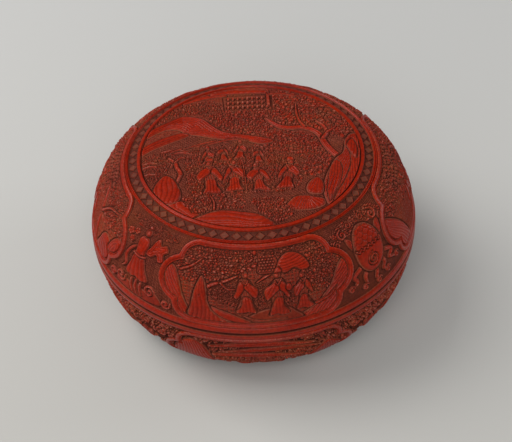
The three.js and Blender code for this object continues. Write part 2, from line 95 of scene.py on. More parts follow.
class Sheet:
    """The nodes of a material, of the room or of a shared group, added one line at a time."""

    def __init__(self, tree):
        self.tree = tree

    def add(self, kind, ins=(), **settings):
        """One node: ins gives its sockets, each a value or another node's output."""
        node = self.tree.nodes.new("ShaderNode" + kind)
        for key, value in settings.items():
            setattr(node, key, value)
        for key, value in dict(ins).items():
            if isinstance(value, bpy.types.NodeSocket):
                self.tree.links.new(value, node.inputs[key])
            else:
                node.inputs[key].default_value = value
        return node

    def noise(self, scale, detail, rough=0.55, vector=None, distort=0.0):
        ins = {"Scale": scale, "Detail": detail, "Roughness": rough, "Distortion": distort}
        if vector:
            ins["Vector"] = vector
        return self.add("TexNoise", ins).outputs["Fac"]

    def ramp(self, value, stops):
        """A colour or a grey for each value, from pairs of a position and a colour."""
        node = self.add("ValToRGB", {"Fac": value})
        while len(node.color_ramp.elements) < len(stops):
            node.color_ramp.elements.new(0.5)
        for element, (position, colour) in zip(node.color_ramp.elements, stops):
            element.position = position
            grey = isinstance(colour, (int, float))
            element.color = (colour, colour, colour, 1) if grey else (*colour, 1)
        return node.outputs["Color"]

    def mix(self, share, first, second, blend="MIX"):
        first, second = [
            value if isinstance(value, bpy.types.NodeSocket) else (*value, 1) for value in (first, second)
        ]
        ins = {0: share, 6: first, 7: second}  # the factor and the two colours of a node in colour mode
        return self.add("Mix", ins, data_type="RGBA", blend_type=blend).outputs[2]

    def over(self, colour, mask, share, upper):
        """The colour, with an upper one laid over it by a mask, at this share."""
        return self.mix(self.times(mask, share), colour, upper)

    def math(self, operation, *values):
        """A sum, product or other operation on one or two values."""
        return self.add("Math", dict(enumerate(values)), operation=operation).outputs[0]

    def times(self, value, share):
        return self.math("MULTIPLY", value, share)

    def span(self, value, low, high, start=0.0, end=1.0):
        """The value, with its range from low to high made into the one from start to end."""
        ins = {"Value": value, "From Min": low, "From Max": high, "To Min": start, "To Max": end}
        return self.add("MapRange", ins).outputs[0]

    def bump(self, height, strength, distance):
        """The normal of a surface that rises with the height, by this distance in metres."""
        ins = {"Strength": strength, "Distance": distance, "Height": height}
        return self.add("Bump", ins).outputs["Normal"]

    def attribute(self, name):
        return self.add("Attribute", attribute_name=name).outputs["Fac"]

    def place(self):
        return self.add("TexCoord").outputs["Object"]

    def axis(self, letter):
        """How far along one of the box's axes a point lies, in metres."""
        return self.add("SeparateXYZ", {"Vector": self.place()}).outputs[letter]

    def group(self, shared, ins=()):
        """One use of a shared group of nodes; gives its outputs by name."""
        node = self.add("Group", node_tree=shared)
        for key, value in dict(ins).items():
            node.inputs[key].default_value = value
        return {socket.name: socket for socket in node.outputs}


def shared_group(name, build, inputs, outputs):
    """A group of nodes that more than one material uses: inputs are numbers with their usual values, and
    build draws the nodes from the inputs and returns what goes to the outputs."""
    tree = bpy.data.node_groups.new(name, "ShaderNodeTree")
    for key, value in inputs.items():
        socket = tree.interface.new_socket(key, in_out="INPUT", socket_type="NodeSocketFloat")
        socket.default_value = value
    for key, kind in outputs.items():
        tree.interface.new_socket(key, in_out="OUTPUT", socket_type="NodeSocket" + kind)
    start, end = tree.nodes.new("NodeGroupInput"), tree.nodes.new("NodeGroupOutput")
    for key, socket in build(Sheet(tree), start.outputs).items():
        tree.links.new(socket, end.inputs[key])
    return tree


# the room round the table glows faintly on all sides, and less where the lacquer's gloss mirrors it
room_glow = 0.3
mirrored_glow = 0.06
world = bpy.data.worlds.new("room")
bpy.context.scene.world = world
world.use_nodes = True
room = Sheet(world.node_tree)
room_light = world.node_tree.nodes["Background"]
room_light.inputs["Color"].default_value = (1.0, 0.99, 0.98, 1)
mirrored = room.add("LightPath").outputs["Is Glossy Ray"]
room.tree.links.new(room.span(mirrored, 0, 1, room_glow, mirrored_glow), room_light.inputs["Strength"])


def material(name, build, **plain):
    """A material: build draws its nodes and returns what goes to the Principled BSDF's sockets."""
    made = bpy.data.materials.new(name)
    made.use_nodes = True
    sheet = Sheet(made.node_tree)
    shader = made.node_tree.nodes["Principled BSDF"]
    for key, value in plain.items():
        shader.inputs[key.replace("_", " ")].default_value = value
    for key, socket in build(sheet).items():
        made.node_tree.links.new(socket, shader.inputs[key])
    return made


def paper_nodes(sheet):
    """Pale paper, a little cloudy, and darker towards the camera: painted shade for the light's falloff."""
    colour = sheet.over((0.515, 0.52, 0.523), sheet.noise(1.1, 1), 0.4, (0.54, 0.545, 0.545))
    # painted shade: the paper darkens towards the camera, as the light falls off there
    colour = sheet.mix(sheet.span(sheet.axis("Y"), 0.7, -0.3), colour, (0.45, 0.447, 0.43))
    return {"Base Color": colour, "Normal": sheet.bump(sheet.noise(900, 2), 0.05, 0.0002)}


def grid_faces(rows, columns, close_rows=False, close_columns=False):
    """The quads of a grid of points, as an array of four corner numbers each."""
    down = np.arange(rows if close_rows else rows - 1)
    across = np.arange(columns if close_columns else columns - 1)
    i, j = np.meshgrid(down, across, indexing="ij")
    i2, j2 = (i + 1) % rows, (j + 1) % columns
    corners = [i * columns + j, i * columns + j2, i2 * columns + j2, i2 * columns + j]
    return np.stack(corners, axis=-1).reshape(-1, 4)


def mesh_object(name, points, quads, rings=(), attributes=None, uv=None, normals=None):
    """A mesh from points in mm, its quads, and any faces of many corners. uv is a pair for each point."""
    mesh = bpy.data.meshes.new(name)
    corners = np.concatenate([quads.ravel(), *rings]).astype(np.int32)
    sizes = np.array([4] * len(quads) + [len(ring) for ring in rings])
    mesh.vertices.add(len(points))
    mesh.vertices.foreach_set("co", (np.asarray(points) * mm).astype(np.float32).ravel())
    mesh.loops.add(len(corners))
    mesh.loops.foreach_set("vertex_index", corners)
    mesh.polygons.add(len(sizes))
    mesh.polygons.foreach_set("loop_start", np.concatenate([[0], np.cumsum(sizes)[:-1]]).astype(np.int32))
    for key, values in (attributes or {}).items():
        layer = mesh.attributes.new(key, "FLOAT", "POINT")
        layer.data.foreach_set("value", np.asarray(values, np.float32).ravel())
    if uv is not None:
        layer = mesh.uv_layers.new(name="OFBake")
        layer.uv.foreach_set("vector", np.asarray(uv, np.float32)[corners].ravel())
    mesh.update(calc_edges=True)
    mesh.shade_smooth()
    if normals is not None:
        mesh.normals_split_custom_set_from_vertices(np.asarray(normals, np.float32))
    piece = bpy.data.objects.new(name, mesh)
    bpy.context.scene.collection.objects.link(piece)
    return piece


paper_reach = 4000
paper_lines = 9
paper_at = np.linspace(-paper_reach, paper_reach, paper_lines)
paper_points = np.array([(x, y, 0) for y in paper_at for x in paper_at])
paper = mesh_object("paper", paper_points, grid_faces(paper_lines, paper_lines))
paper.data.materials.append(material("seamless paper", paper_nodes, Roughness=0.9))

# The lid's red coat: some hundred thin layers of cinnabar lacquer over the wood and its cloth ground,
# carved down through about three millimetres. It is one skin; its carving is worked here on flat
# patches, one for the picture on the crown and one that runs round the side, and laid on the wall.
lid_rise = 80
lid_powers = (6, 1.8)  # of the wall's curve, at its side and over its crown
coat_thickness = 4
cut_depth = 2.7
carving_sink = 0.45  # the top of the carving lies this far below the wall's outline
plain = 1.14  # the height of the plain borders, which come up to the outline
roundel_radius = 99
ring_width = 3
diamond_band = 8
rim_band = 7
columns = 1600  # of the coat's mesh, round the box
soft_reach = 1.6  # a hollow or a ridge is what stands off from the mean height over this reach


def eased(share):
    """A share from 0 to 1 that starts and ends softly."""
    share = np.clip(share, 0, 1)
    return share * share * (3 - 2 * share)


class Wall:
    """The outline of one half, from its middle out to the joint, in mm. Run is the distance along it."""

    def __init__(self, rise, joint, way, powers):
        side_power, crown_power = powers
        angle = np.pi / 2 * np.linspace(0, 1, 4000) ** 2  # closer together near the middle
        out, up = np.sin(angle) ** (2 / side_power), np.cos(angle) ** (2 / crown_power)
        slope_r = side_power / rim_radius * out ** (side_power - 1)
        slope_z = crown_power / rise * up ** (crown_power - 1)
        length = np.hypot(slope_r, slope_z)
        self.normal_r, self.normal_z = slope_r / length, way * slope_z / length
        self.r, self.z = rim_radius * out, joint + way * rise * up
        self.run = np.concatenate([[0], np.cumsum(np.hypot(np.diff(self.r), np.diff(self.z)))])
        self.length = self.run[-1]

    def run_at_radius(self, radius):
        return np.interp(radius, self.r, self.run)

    def at(self, run, depth):
        """Radius and height of the points that lie at these runs, this deep under the outline."""
        outline = self.r, self.z, self.normal_r, self.normal_z
        r, z, normal_r, normal_z = (np.interp(run, self.run, values) for values in outline)
        return r - depth * normal_r, z - depth * normal_z


class Patch:
    """A stretch of the coat laid flat, in mm. Its height runs from 0 at the deepest cut to 1, uncut."""

    def __init__(self, left, right, bottom, top, step, around=0):
        self.left, self.bottom, self.step, self.around = left, bottom, step, around
        across = np.arange(left, right + step / 2, step)
        up = np.arange(bottom, top + step / 2, step)
        self.x, self.y = np.meshgrid(across, up)
        self.height = np.zeros_like(self.x)

    def near(self, x, y, reach):
        """The samples within reach of a place, with their distances from it. A strip that runs round
        the box meets itself again after its length."""
        rows, count = self.x.shape
        for turn in (0, -self.around, self.around) if self.around else (0,):
            low_x = max(0, math.floor((x + turn - reach - self.left) / self.step))
            high_x = min(count, math.ceil((x + turn + reach - self.left) / self.step) + 1)
            low_y = max(0, math.floor((y - reach - self.bottom) / self.step))
            high_y = min(rows, math.ceil((y + reach - self.bottom) / self.step) + 1)
            if low_x < high_x and low_y < high_y:
                part = np.s_[low_y:high_y, low_x:high_x]
                yield part, self.x[part] - x - turn, self.y[part] - y

    def softened(self):
        """The height, averaged over squares of the soft reach, twice."""
        count = int(soft_reach / self.step)
        soft = self.height
        for _ in range(4):
            padded = np.pad(soft, ((0, 0), (count + 1, count)), "edge")
            total = np.cumsum(padded, axis=1)
            soft = ((total[:, 2 * count + 1:] - total[:, :-2 * count - 1]) / (2 * count + 1)).T
        return soft

    def read(self, values, x, y):
        """The values at these places, smoothly between the samples."""
        rows, count = self.x.shape
        a, b = (x - self.left) / self.step, (y - self.bottom) / self.step
        b = np.clip(b, 0, rows - 1.001)
        a = a % count if self.around else np.clip(a, 0, count - 1.001)
        i, j = np.floor(b).astype(int), np.floor(a).astype(int)
        a, b = a - j, b - i
        j2 = (j + 1) % count
        low = values[i, j] * (1 - a) + values[i, j2] * a
        high = values[i + 1, j] * (1 - a) + values[i + 1, j2] * a
        return low * (1 - b) + high * b


# the carver's cuts: each of these leaves one kind of shape standing on a patch, or lines or a ground
margin = 1.5  # how far past a shape the cut round it may reach


def curve_through(points, closed):
    """A smooth curve through a few points, as a list of four times as many."""
    points = np.asarray(points, float)
    if closed:
        ring = np.vstack([points[-1], points, points[0], points[1]])
    else:
        ring = np.vstack([2 * points[0] - points[1], points, 2 * points[-1] - points[-2]])
    t = (np.arange(4) / 4)[:, None]
    curve = []
    for a, b, c, d in zip(ring[:-3], ring[1:-2], ring[2:-1], ring[3:]):
        bend = (2 * a - 5 * b + 4 * c - d) * t**2 + (3 * b - a - 3 * c + d) * t**3
        curve.append(0.5 * (2 * b + (c - a) * t + bend))
    curve = np.vstack(curve)
    return curve if closed else np.vstack([curve, points[-1]])


def beside(u, v, start, end):
    """Where each sample lies along a straight line, from 0 to 1, and how far from it."""
    (x, y), (dx, dy) = start, end - start
    along = np.clip(((u - x) * dx + (v - y) * dy) / (dx * dx + dy * dy + 1e-12), 0, 1)
    return along, np.hypot(u - x - along * dx, v - y - along * dy)


def inside_outline(u, v, outline):
    """How far inside a closed outline each sample lies; outside it is below zero."""
    nearest = np.full(u.shape, 1e9)
    within = np.zeros(u.shape, bool)
    for start, end in zip(outline, np.roll(outline, -1, axis=0)):
        nearest = np.minimum(nearest, beside(u, v, start, end)[1])
        (x, y), (dx, dy) = start, end - start
        if dy:
            within ^= ((y > v) != (end[1] > v)) & (u < x + (v - y) * dx / dy)
    return np.where(within, nearest, -nearest)


def inside_stroke(u, v, line, widths):
    """How far inside a stroke of changing width each sample lies."""
    best = np.full(u.shape, -1e9)
    for start, end, wide, wide_end in zip(line[:-1], line[1:], widths[:-1], widths[1:]):
        along, distance = beside(u, v, start, end)
        best = np.maximum(best, (wide + (wide_end - wide) * along) / 2 - distance)
    return best


edge_share = 0.45  # how much of its height a shape has at its very edge
moat_height = 0.12


def leave(patch, part, inside, top, bevel, moat, cuts=0.0):
    """Leaves a shape standing, with its edge rounded over and a clear cut round it."""
    old = patch.height[part]
    standing = top * (edge_share + (1 - edge_share) * eased(inside / bevel)) - cuts
    cleared = np.where(inside > -moat, np.minimum(old, moat_height), old)
    patch.height[part] = np.where(inside > 0, standing, cleared)


def gouge(phase, depth):
    """A cut at each whole number of the phase, three tenths wide to each side."""
    phase = phase % 1
    return depth * (1 - eased(np.minimum(phase, 1 - phase) / 0.3))


def contours(pitch, depth=0.22):
    """Lines cut side by side along the outline of a shape."""
    return lambda x, y, inside: gouge(inside / pitch, depth) * (inside > pitch / 2)


def streaks(pitch, depth, angle, follow, waver=1.2):
    """Long lines in one direction, which bend with the outline by the follow share."""
    c, s = math.cos(math.radians(angle)), math.sin(math.radians(angle))

    def cuts(x, y, inside):
        across, length = c * y - s * x, c * x + s * y
        bent = across * (1 - follow) + inside * follow + waver * np.sin(length / 9 + across / 14)
        return gouge(bent / pitch, depth) * eased(inside / pitch)

    return cuts


def folds(x0, y0, spread, depth=0.22, sway=0.35):
    """Lines that fan out from a point, such as the folds of a rock below its peak."""

    def cuts(x, y, inside):
        reach = np.hypot(x - x0, y - y0)
        angle = np.degrees(np.arctan2(y - y0, x - x0))
        return gouge(angle / spread + sway * np.sin(reach / 7 + angle / 11), depth) * eased(inside / 1.6)

    return cuts


def scales(x0, y0, size):
    """Overlapping scales, row above row, down to the height y0."""

    def cuts(x, y, inside):
        row = np.floor((y - y0) / size)
        across = (((x - x0) / size / 1.6 + row / 2) % 1 - 0.5) * 1.6
        from_edge = np.abs(np.hypot(across, 1 - (y - y0) / size + row) - 0.82)
        return 0.35 * (1 - eased(from_edge / 0.17)) * (y > y0) * eased(inside / 1.6)

    return cuts


def shape(patch, points, top, bevel, moat, cuts=None, smooth=True):
    """A shape inside an outline drawn through a few points, in mm on the patch."""
    points = np.asarray(points, float)
    middle = points.mean(axis=0)
    outline = (curve_through(points, True) if smooth else points) - middle
    for part, u, v in patch.near(*middle, np.abs(outline).max() + margin):
        inside = inside_outline(u, v, outline)
        cut = cuts(u + middle[0], v + middle[1], inside) if cuts else 0
        leave(patch, part, inside, top, bevel, moat, cut)


def stroke(patch, points, widths, top, bevel=0.9, moat=0.55, lines=0):
    """A branch, ribbon or scroll: a line through a few points, with a width for each. Lines may run along
    it, at this distance."""
    points = np.asarray(points, float)
    middle = (points.min(axis=0) + points.max(axis=0)) / 2
    line = curve_through(points, False) - middle
    widths = np.interp(np.linspace(0, 1, len(line)), np.linspace(0, 1, len(widths)), widths)
    for part, u, v in patch.near(*middle, np.abs(line).max() + widths.max() + margin):
        inside = inside_stroke(u, v, line, widths)
        cuts = gouge(inside / lines, 0.2) * (inside > lines / 2) if lines else 0
        leave(patch, part, inside, top, bevel, moat, cuts)


def oval(patch, x, y, width, height, top=1.0, bevel=1.0, moat=0.5, cuts=None):
    """An oval that stands by itself, such as a head or a bead."""
    for part, u, v in patch.near(x, y, max(width, height) / 2 + margin):
        inside = (1 - np.hypot(2 * u / width, 2 * v / height)) * min(width, height) / 2
        leave(patch, part, inside, top, bevel, moat, cuts(u + x, v + y, inside) if cuts else 0)


def pine_tuft(patch, x, y, radius, top, turn):
    """A round tuft of pine needles, cut as fourteen spokes round a boss."""
    for part, u, v in patch.near(x, y, radius + margin):
        rho, angle = np.hypot(u, v), np.arctan2(v, u) + turn
        spokes = 0.5 + 0.5 * np.cos(14 * angle)
        gaps = 0.55 * (1 - spokes) * eased((rho / radius - 0.15) / 0.3) * (rho > radius * 0.2)
        inside = radius * (1 + 0.06 * spokes) - rho
        leave(patch, part, inside, top, 0.8, 0.5, gaps + 0.16 * (rho / radius) ** 2)


def blossom(patch, x, y, radius):
    """A flower of five petals round a ringed eye."""
    for part, u, v in patch.near(x, y, radius + margin):
        rho, lobe = np.hypot(u, v), np.abs(np.cos(2.5 * np.arctan2(v, u)))
        cuts = 0.4 * (1 - eased(lobe / 0.35)) * (rho > radius * 0.35) * (rho < radius * 0.9)
        cuts = cuts + 0.45 * (np.abs(rho - radius * 0.32) < radius * 0.1)
        leave(patch, part, radius * (0.72 + 0.28 * lobe) - rho, 0.95, 0.9, 0.5, cuts)


def curl(patch, x, y, radius, turns, width, start, hand, top):
    """A curl of cloud, scroll or foam, wound in to its middle."""
    t = np.linspace(0, 1, max(8, int(turns * 8)))
    angle = math.radians(start) + hand * 2 * np.pi * turns * t
    rho = radius * (1 - t * 0.88)
    points = np.column_stack([x + rho * np.cos(angle), y + rho * np.sin(angle)])
    stroke(patch, points, [width * 0.8, width, width * 0.9, width * 0.8], top)


def cloud(patch, x, y, size, hand=1):
    """A cloud head of three curls over a long tail."""
    tail = np.array([(-0.2 * hand, -0.2), (hand, -0.45), (2.1 * hand, -0.25), (2.9 * hand, -0.5)])
    stroke(patch, tail * size + (x, y), size * np.array([0.5, 0.42, 0.3, 0.08]), 0.828, lines=1.5)
    for a, b, turns, width, start, way, top in ((-0.5, -0.1, 1.3, 0.26, 90, hand, 0.8648),
                                                (0.5, 0, 1.3, 0.26, 90, -hand, 0.8924),
                                                (0, 0.35, 1.4, 0.28, -90, hand, 0.92)):
        curl(patch, x + hand * size * a, y + size * b, size * 0.5, turns, size * width, start, way, top)


def wave(patch, x, y, size, hand):
    """A wave: a lined back under a curling crest."""
    back = np.array([(-1.1 * hand, -0.9), (-0.7 * hand, 0), (0, 0.45), (0.7 * hand, 0.1)])
    stroke(patch, back * size + (x, y), size * np.array([0.9, 0.8, 0.5, 0.24]), 0.81, lines=1.5)
    curl(patch, x + hand * size * 0.55, y - size * 0.1, size * 0.36, 1.2, size * 0.24, 90, -hand, 0.9)


def diaper(x, y, side):
    """The ground of small lozenges, each with a flower in it."""
    a, b = (x + y) / side, (x - y) / side
    a, b = a - np.floor(a) - 0.5, b - np.floor(b) - 0.5
    petals = 0.24 + 0.06 * np.cos(4 * np.arctan2(b, a))
    lines = eased((np.maximum(np.abs(a), np.abs(b)) - 0.36) / 0.08)
    return 0.1 + 0.5 * lines + 0.66 * eased((petals - np.hypot(a, b)) / 0.08)


def key_frets(x, y, pitch):
    """The ground of squared spirals that stands for air."""
    a, b = x / pitch, y / pitch
    odd = (np.floor(a) + np.floor(b)) % 2
    a, b = a - np.floor(a) - 0.5, b - np.floor(b) - 0.5
    a, b = np.where(odd > 0, b, a), np.where(odd > 0, a, b)
    edge = np.maximum(np.abs(a), np.abs(b)) * 2
    hooks = np.cos(np.pi * 2.5 * edge + np.sign(b) * (np.abs(a) < 0.18) * 1.2)
    return 0.26 + 0.42 * eased(hooks * 1.5 + 0.3)


draw = np.random.default_rng(7)
stray = 0.22  # how far a leaf may lie from its even place, as a share of the spacing


def scatter(outline, spacing):
    """Places spread unevenly inside an outline, the highest first, so that the lower ones lap over them."""
    outline = curve_through(outline, True)
    low, high = outline.min(axis=0), outline.max(axis=0)
    across = np.arange(low[0], high[0], spacing)
    up = np.arange(high[1], low[1], -spacing * 0.86)
    places = np.array([(a + (row % 2) * spacing / 2, b) for row, b in enumerate(up) for a in across])
    places = places + draw.uniform(-stray, stray, places.shape) * spacing
    return places[inside_outline(places[:, 0], places[:, 1], outline) > 0]


def pine(patch, outline, radius):
    """Tufts of needles over a stretch of the crown of a pine."""
    for a, b in scatter(outline, radius * 1.55):
        size = radius * draw.uniform(0.85, 1.15)
        pine_tuft(patch, a, b, size, draw.uniform(0.7, 0.92), draw.uniform(0, 6))


def foliage(patch, outline, length):
    """Small leaves that lie all ways over a stretch of a tree or shrub."""
    for a, b in scatter(outline, length * 0.66):
        long, turn = length * draw.uniform(0.8, 1.4), draw.uniform(0, np.pi)
        c, s = math.cos(turn), math.sin(turn)
        wide = long * draw.uniform(0.45, 0.68)
        top = 1.05 - 0.65 * draw.uniform(0, 1) ** 1.6
        for part, u, v in patch.near(a, b, long / 2 + 0.6):
            inside = (0.5 - np.hypot((c * u + s * v) / long, (c * v - s * u) / wide)) * wide
            leave(patch, part, inside, top, 0.4, 0.3)


def figure(patch, x, y, tall, face=1, held="", hair="bun", lean=0.0, top=1.0):
    """A standing figure in a long robe: a plain head and hair, sleeves that hang from its joined hands,
    an overskirt, and a hem that trails behind. Face is 1 to the right, -1 to the left."""

    def at(*points):
        return [(x + face * tall * (a + lean * b), y + tall * b) for a, b in points]

    def laid(points, height, cuts=None, moat=0.45):
        by_hand = np.array(at(*points)) + draw.uniform(-0.022, 0.022, (len(points), 2)) * tall
        shape(patch, by_hand, top * height, 1.1, moat, cuts)

    pleats = folds(*at((0.02, 1.25))[0], 3.4, 0.3, 0.25)
    robe = [(-0.22, 0.03), (-0.08, 0), (0.06, 0.04), (0.17, 0.02), (0.13, 0.2), (0.12, 0.42), (0.16, 0.6),
            (0.12, 0.74), (0.03, 0.82), (-0.07, 0.81), (-0.14, 0.72), (-0.15, 0.56), (-0.1, 0.36),
            (-0.15, 0.18)]
    overskirt = [(-0.23, 0), (-0.1, -0.03), (0.04, 0.02), (0.18, -0.01), (0.12, 0.16), (0.1, 0.34), (0, 0.4),
                 (-0.09, 0.34), (-0.12, 0.18)]
    far_sleeve = [(-0.06, 0.76), (-0.14, 0.68), (-0.2, 0.54), (-0.25, 0.38), (-0.17, 0.36), (-0.1, 0.48),
                  (-0.02, 0.62)]
    near_sleeve = [(0.05, 0.74), (0.15, 0.68), (0.25, 0.6), (0.27, 0.48), (0.22, 0.36), (0.14, 0.42),
                   (0.06, 0.5), (-0.02, 0.6)]
    laid(robe, 0.66, pleats, 0.9)
    laid(overskirt, 1.0, pleats)
    laid(far_sleeve, 0.92)
    laid(near_sleeve, 1.03, streaks(tall * 0.07, 0.24, -60 * face, 0.0, 0.3))
    stroke(patch, at((-0.07, 0.8), (0.01, 0.68), (0.07, 0.77)), [tall * 0.03] * 3, top, 0.5, 0.3)
    oval(patch, *at((0.01, 0.9))[0], tall * 0.14, tall * 0.17, top * 0.7, 1.0, 0.5)
    oval(patch, *at((0.03, 0.885))[0], tall * 0.11, tall * 0.13, top, 1.5, 0.15)
    if hair == "bun":
        oval(patch, *at((-0.04, 0.985))[0], tall * 0.09, tall * 0.08, top * 0.95, 0.7, 0.25)
    if hair == "cap":
        laid([(-0.08, 0.93), (0.07, 0.95), (0.05, 1.04), (-0.06, 1.05)], 0.94)
    if held == "staff":
        stroke(patch, at((0.33, 0.02), (0.31, 0.5), (0.3, 0.98), (0.35, 1.06), (0.4, 0.98)),
               [tall * 0.03] * 2, 1.0, 0.5, 0.4)
    if held == "fan":
        fan = at((0.36, 0.66))[0]
        oval(patch, *fan, tall * 0.15, tall * 0.2, 1.0, 0.7, 0.4,
             folds(fan[0], fan[1] - tall * 0.2, 8, 0.25, 0))


# the picture on the crown: a party in a garden, before water, a mountain and a great pine
crown = Patch(-roundel_radius, roundel_radius, -roundel_radius, roundel_radius, 0.25)
x, y = crown.x, crown.y
water_line = 16 - 7 * np.sin(x / 25)
sky = eased((y - water_line) / 3)
crown.height[:] = diaper(x, y, 3.4) * (1 - sky) + key_frets(x, y, 3.0) * sky

# trees behind everything: in the middle, at the left, and all over the upper right
for leaf, trees in (
    (3.8, [(-36, 44), (-28, 30), (-10, 24), (6, 24), (20, 30), (24, 44), (18, 62), (-20, 64), (-32, 60)]),
    (2.6, [(-86, 46), (-68, 56), (-48, 58), (-36, 52), (-24, 66), (-34, 76), (-52, 76), (-72, 66)]),
    (4.4, [(22, 44), (34, 36), (56, 32), (68, 20), (82, 16), (94, 22), (88, 46), (66, 72), (40, 88),
           (24, 84)]),
    (3.8, [(6, 18), (16, 24), (36, 26), (54, 18), (66, 4), (70, -16), (62, -34), (46, -34), (44, -8),
           (8, 2)]),
    (2.8, [(-56, -2), (-44, 4), (-20, 6), (16, 0), (36, -10), (44, -30), (40, -50), (20, -56), (-50, -54),
           (-56, -30)]),
):
    foliage(crown, trees, leaf)

# a pavilion at the top: a long roof, its left wing lower, over a wall of beaded lattice
shape(crown, [(-22, 60), (22, 60), (22, 84), (-24, 84)], 0.4, 0.8, 0.6, smooth=False)
for a in np.linspace(-18.5, 17.5, 9):
    for b in (64, 71, 78):
        oval(crown, a, b, 2.8, 4.2, 1.1, 0.8, 0.7)
stroke(crown, [(19, 66), (18.5, 92)], [3.4, 3.4], 0.95, 0.9, 0.7)
stroke(crown, [(-60, 76), (-48, 81), (-36, 84), (-22, 85)], [3, 5, 5.6, 5], 0.9, 0.9, 0.7, lines=1.7)
stroke(crown, [(-34, 87), (-14, 89.5), (16, 88)], [4, 6.4, 5.2], 1.05, 1.2, 0.8)
stroke(crown, [(-58, 80), (-42, 88), (-26, 93), (0, 95), (22, 93)], [1.6, 2.2, 2.2, 2.2, 1.6], 0.85, 0.7, 0.6)
stroke(crown, [(20, 84), (34, 84), (44, 80)], [2.4, 2.6, 1.6], 0.85, 0.8, 0.6, lines=1.2)

# the far mountain, in two long folds that run out to the right
upper_fold = [(-98, 34), (-87, 42), (-74, 49), (-62, 55), (-51, 53), (-41, 48), (-33, 38), (-22, 28),
              (0, 22), (20, 15), (19, 10), (8, 9), (-7, 15), (-28, 18), (-46, 24), (-58, 27), (-63, 33),
              (-74, 36), (-86, 31), (-98, 24)]
shape(crown, upper_fold, 1.0, 2.4, 0.8, contours(2.6, 0.42))
lower_fold = [(-99, 2), (-88, 8), (-73, 15), (-60, 21), (-54, 26), (-62, 30), (-72, 27), (-85, 22), (-99, 13)]
shape(crown, lower_fold, 0.96, 2.2, 0.4, contours(2.6, 0.4))
for a, b, c in ((-97, -4, 1.0), (-92, -8, 0.9), (-78, 0, 0.8), (-60, 6, 0.8), (-44, 8, 0.75)):
    strand = [(a, b), (a + 16, b + 6), (a + 30, b + 9), (a + 42, b + 6)]
    stroke(crown, strand, [1.2, 2.6, 2.4, 1.0], c, 0.8, 0.5)

# the pine, whose smooth trunk leans in from the right-hand cliff
trunk = [(81, -16), (73, -6), (67, 6), (64, 17), (58, 25), (48, 30), (36, 30), (27, 33), (20, 40), (15, 46)]
stroke(crown, trunk, [7, 7, 6.6, 6.2, 5.8, 5.6, 5.4, 5.6, 4.6, 2.4], 1.0, 2.0, 1.0, lines=2.6)
stroke(crown, [(66, 14), (70, 22), (67, 32), (61, 39)], [4.6, 4.4, 3.6, 1.8], 1.0, 1.4, 0.8)
stroke(crown, [(50, 31), (46, 40), (44, 52), (44, 66)], [3.6, 2.8, 2.6, 1.8], 0.95, 1.0, 0.6)
stroke(crown, [(70, 22), (78, 30), (80, 42)], [3, 2.4, 1.4], 0.95, 0.9, 0.6)
pine(crown, [(70, 62), (84, 48), (86, 34), (76, 38), (66, 54)], 3.4)

# the cliff at the right, in long smooth lobes, and two boulders below it
cliff = [(64, -72), (61, -56), (64, -40), (69, -26), (75, -14), (82, -6), (85, 8), (90, 21), (97, 22),
         (101, 4), (100, -22), (92, -46), (80, -62), (70, -74)]
shape(crown, cliff, 0.9, 2.2, 1.0, folds(122, 60, 1.25, 0.24, 0.3))
outer_lobe = [(68, -72), (78, -66), (92, -50), (101, -20), (101, 8), (97, 22), (89, 18), (84, 6), (88, -8),
              (87, -24), (81, -42), (73, -58)]
shape(crown, outer_lobe, 0.98, 2.0, 0.2, folds(104, 96, 1.1, 0.32, 0.3))
inner_lobe = [(66, -70), (71, -60), (77, -46), (80, -32), (79, -20), (73, -18), (68, -31), (66, -44),
              (64, -58)]
shape(crown, inner_lobe, 1.0, 2.0, 0.2, folds(92, 60, 1.5, 0.32, 0.3))
top_lobe = [(86, 4), (92, 14), (96, 2), (94, -14), (90, -10)]
shape(crown, top_lobe, 1.0, 1.8, 0.3, folds(104, 96, 1.7, 0.24, 0.3))
upper_boulder = [(47, -58), (47, -50), (51, -43), (58, -39), (62, -46), (62, -56), (59, -61), (52, -61)]
shape(crown, upper_boulder, 0.95, 2.6, 0.6, folds(58, -30, 10, 0.2, 0.5))
lower_boulder = [(28, -76), (31, -69), (37, -63), (46, -62), (54, -64), (61, -66), (62, -73), (54, -78),
                 (45, -80), (35, -80)]
shape(crown, lower_boulder, 1.0, 2.8, 0.6, folds(46, -60, 9, 0.24, 0.5))

# a thin tree over a tall rock, at the left
foliage(crown, [(-97, -4), (-82, 2), (-68, 0), (-70, -18), (-78, -30), (-90, -34)], 2.4)
for a in (-11, -16, -26):
    stroke(crown, [(-96, a), (-90, a + 1.5), (-83, a)], [1.6, 2.4, 1.4], 1.0, 0.8, 0.5)
thin_trunk = [(-73, -5), (-67, -12), (-65, -19), (-62, -27), (-64, -35), (-67, -42)]
stroke(crown, thin_trunk, [2, 4, 4, 4.2, 3.6, 3], 1.0, 1.4, 0.9)
stroke(crown, [(-67, -12), (-62, -6), (-58, -6)], [2.4, 1.8, 1.2], 0.95, 0.9, 0.6)
crag_foot = [(-84, -56), (-72, -62), (-60, -62), (-50, -72), (-44, -84), (-54, -87), (-66, -79), (-78, -68)]
shape(crown, crag_foot, 0.92, 2.0, 1.0, streaks(2.3, 0.2, -38, 0.4))
crag = [(-76, -28), (-83, -36), (-87, -48), (-84, -58), (-74, -64), (-64, -62), (-61, -54), (-64, -42),
        (-69, -32)]
shape(crown, crag, 1.0, 2.2, 0.8, folds(-66, 0, 5, 0.26, 0.5))

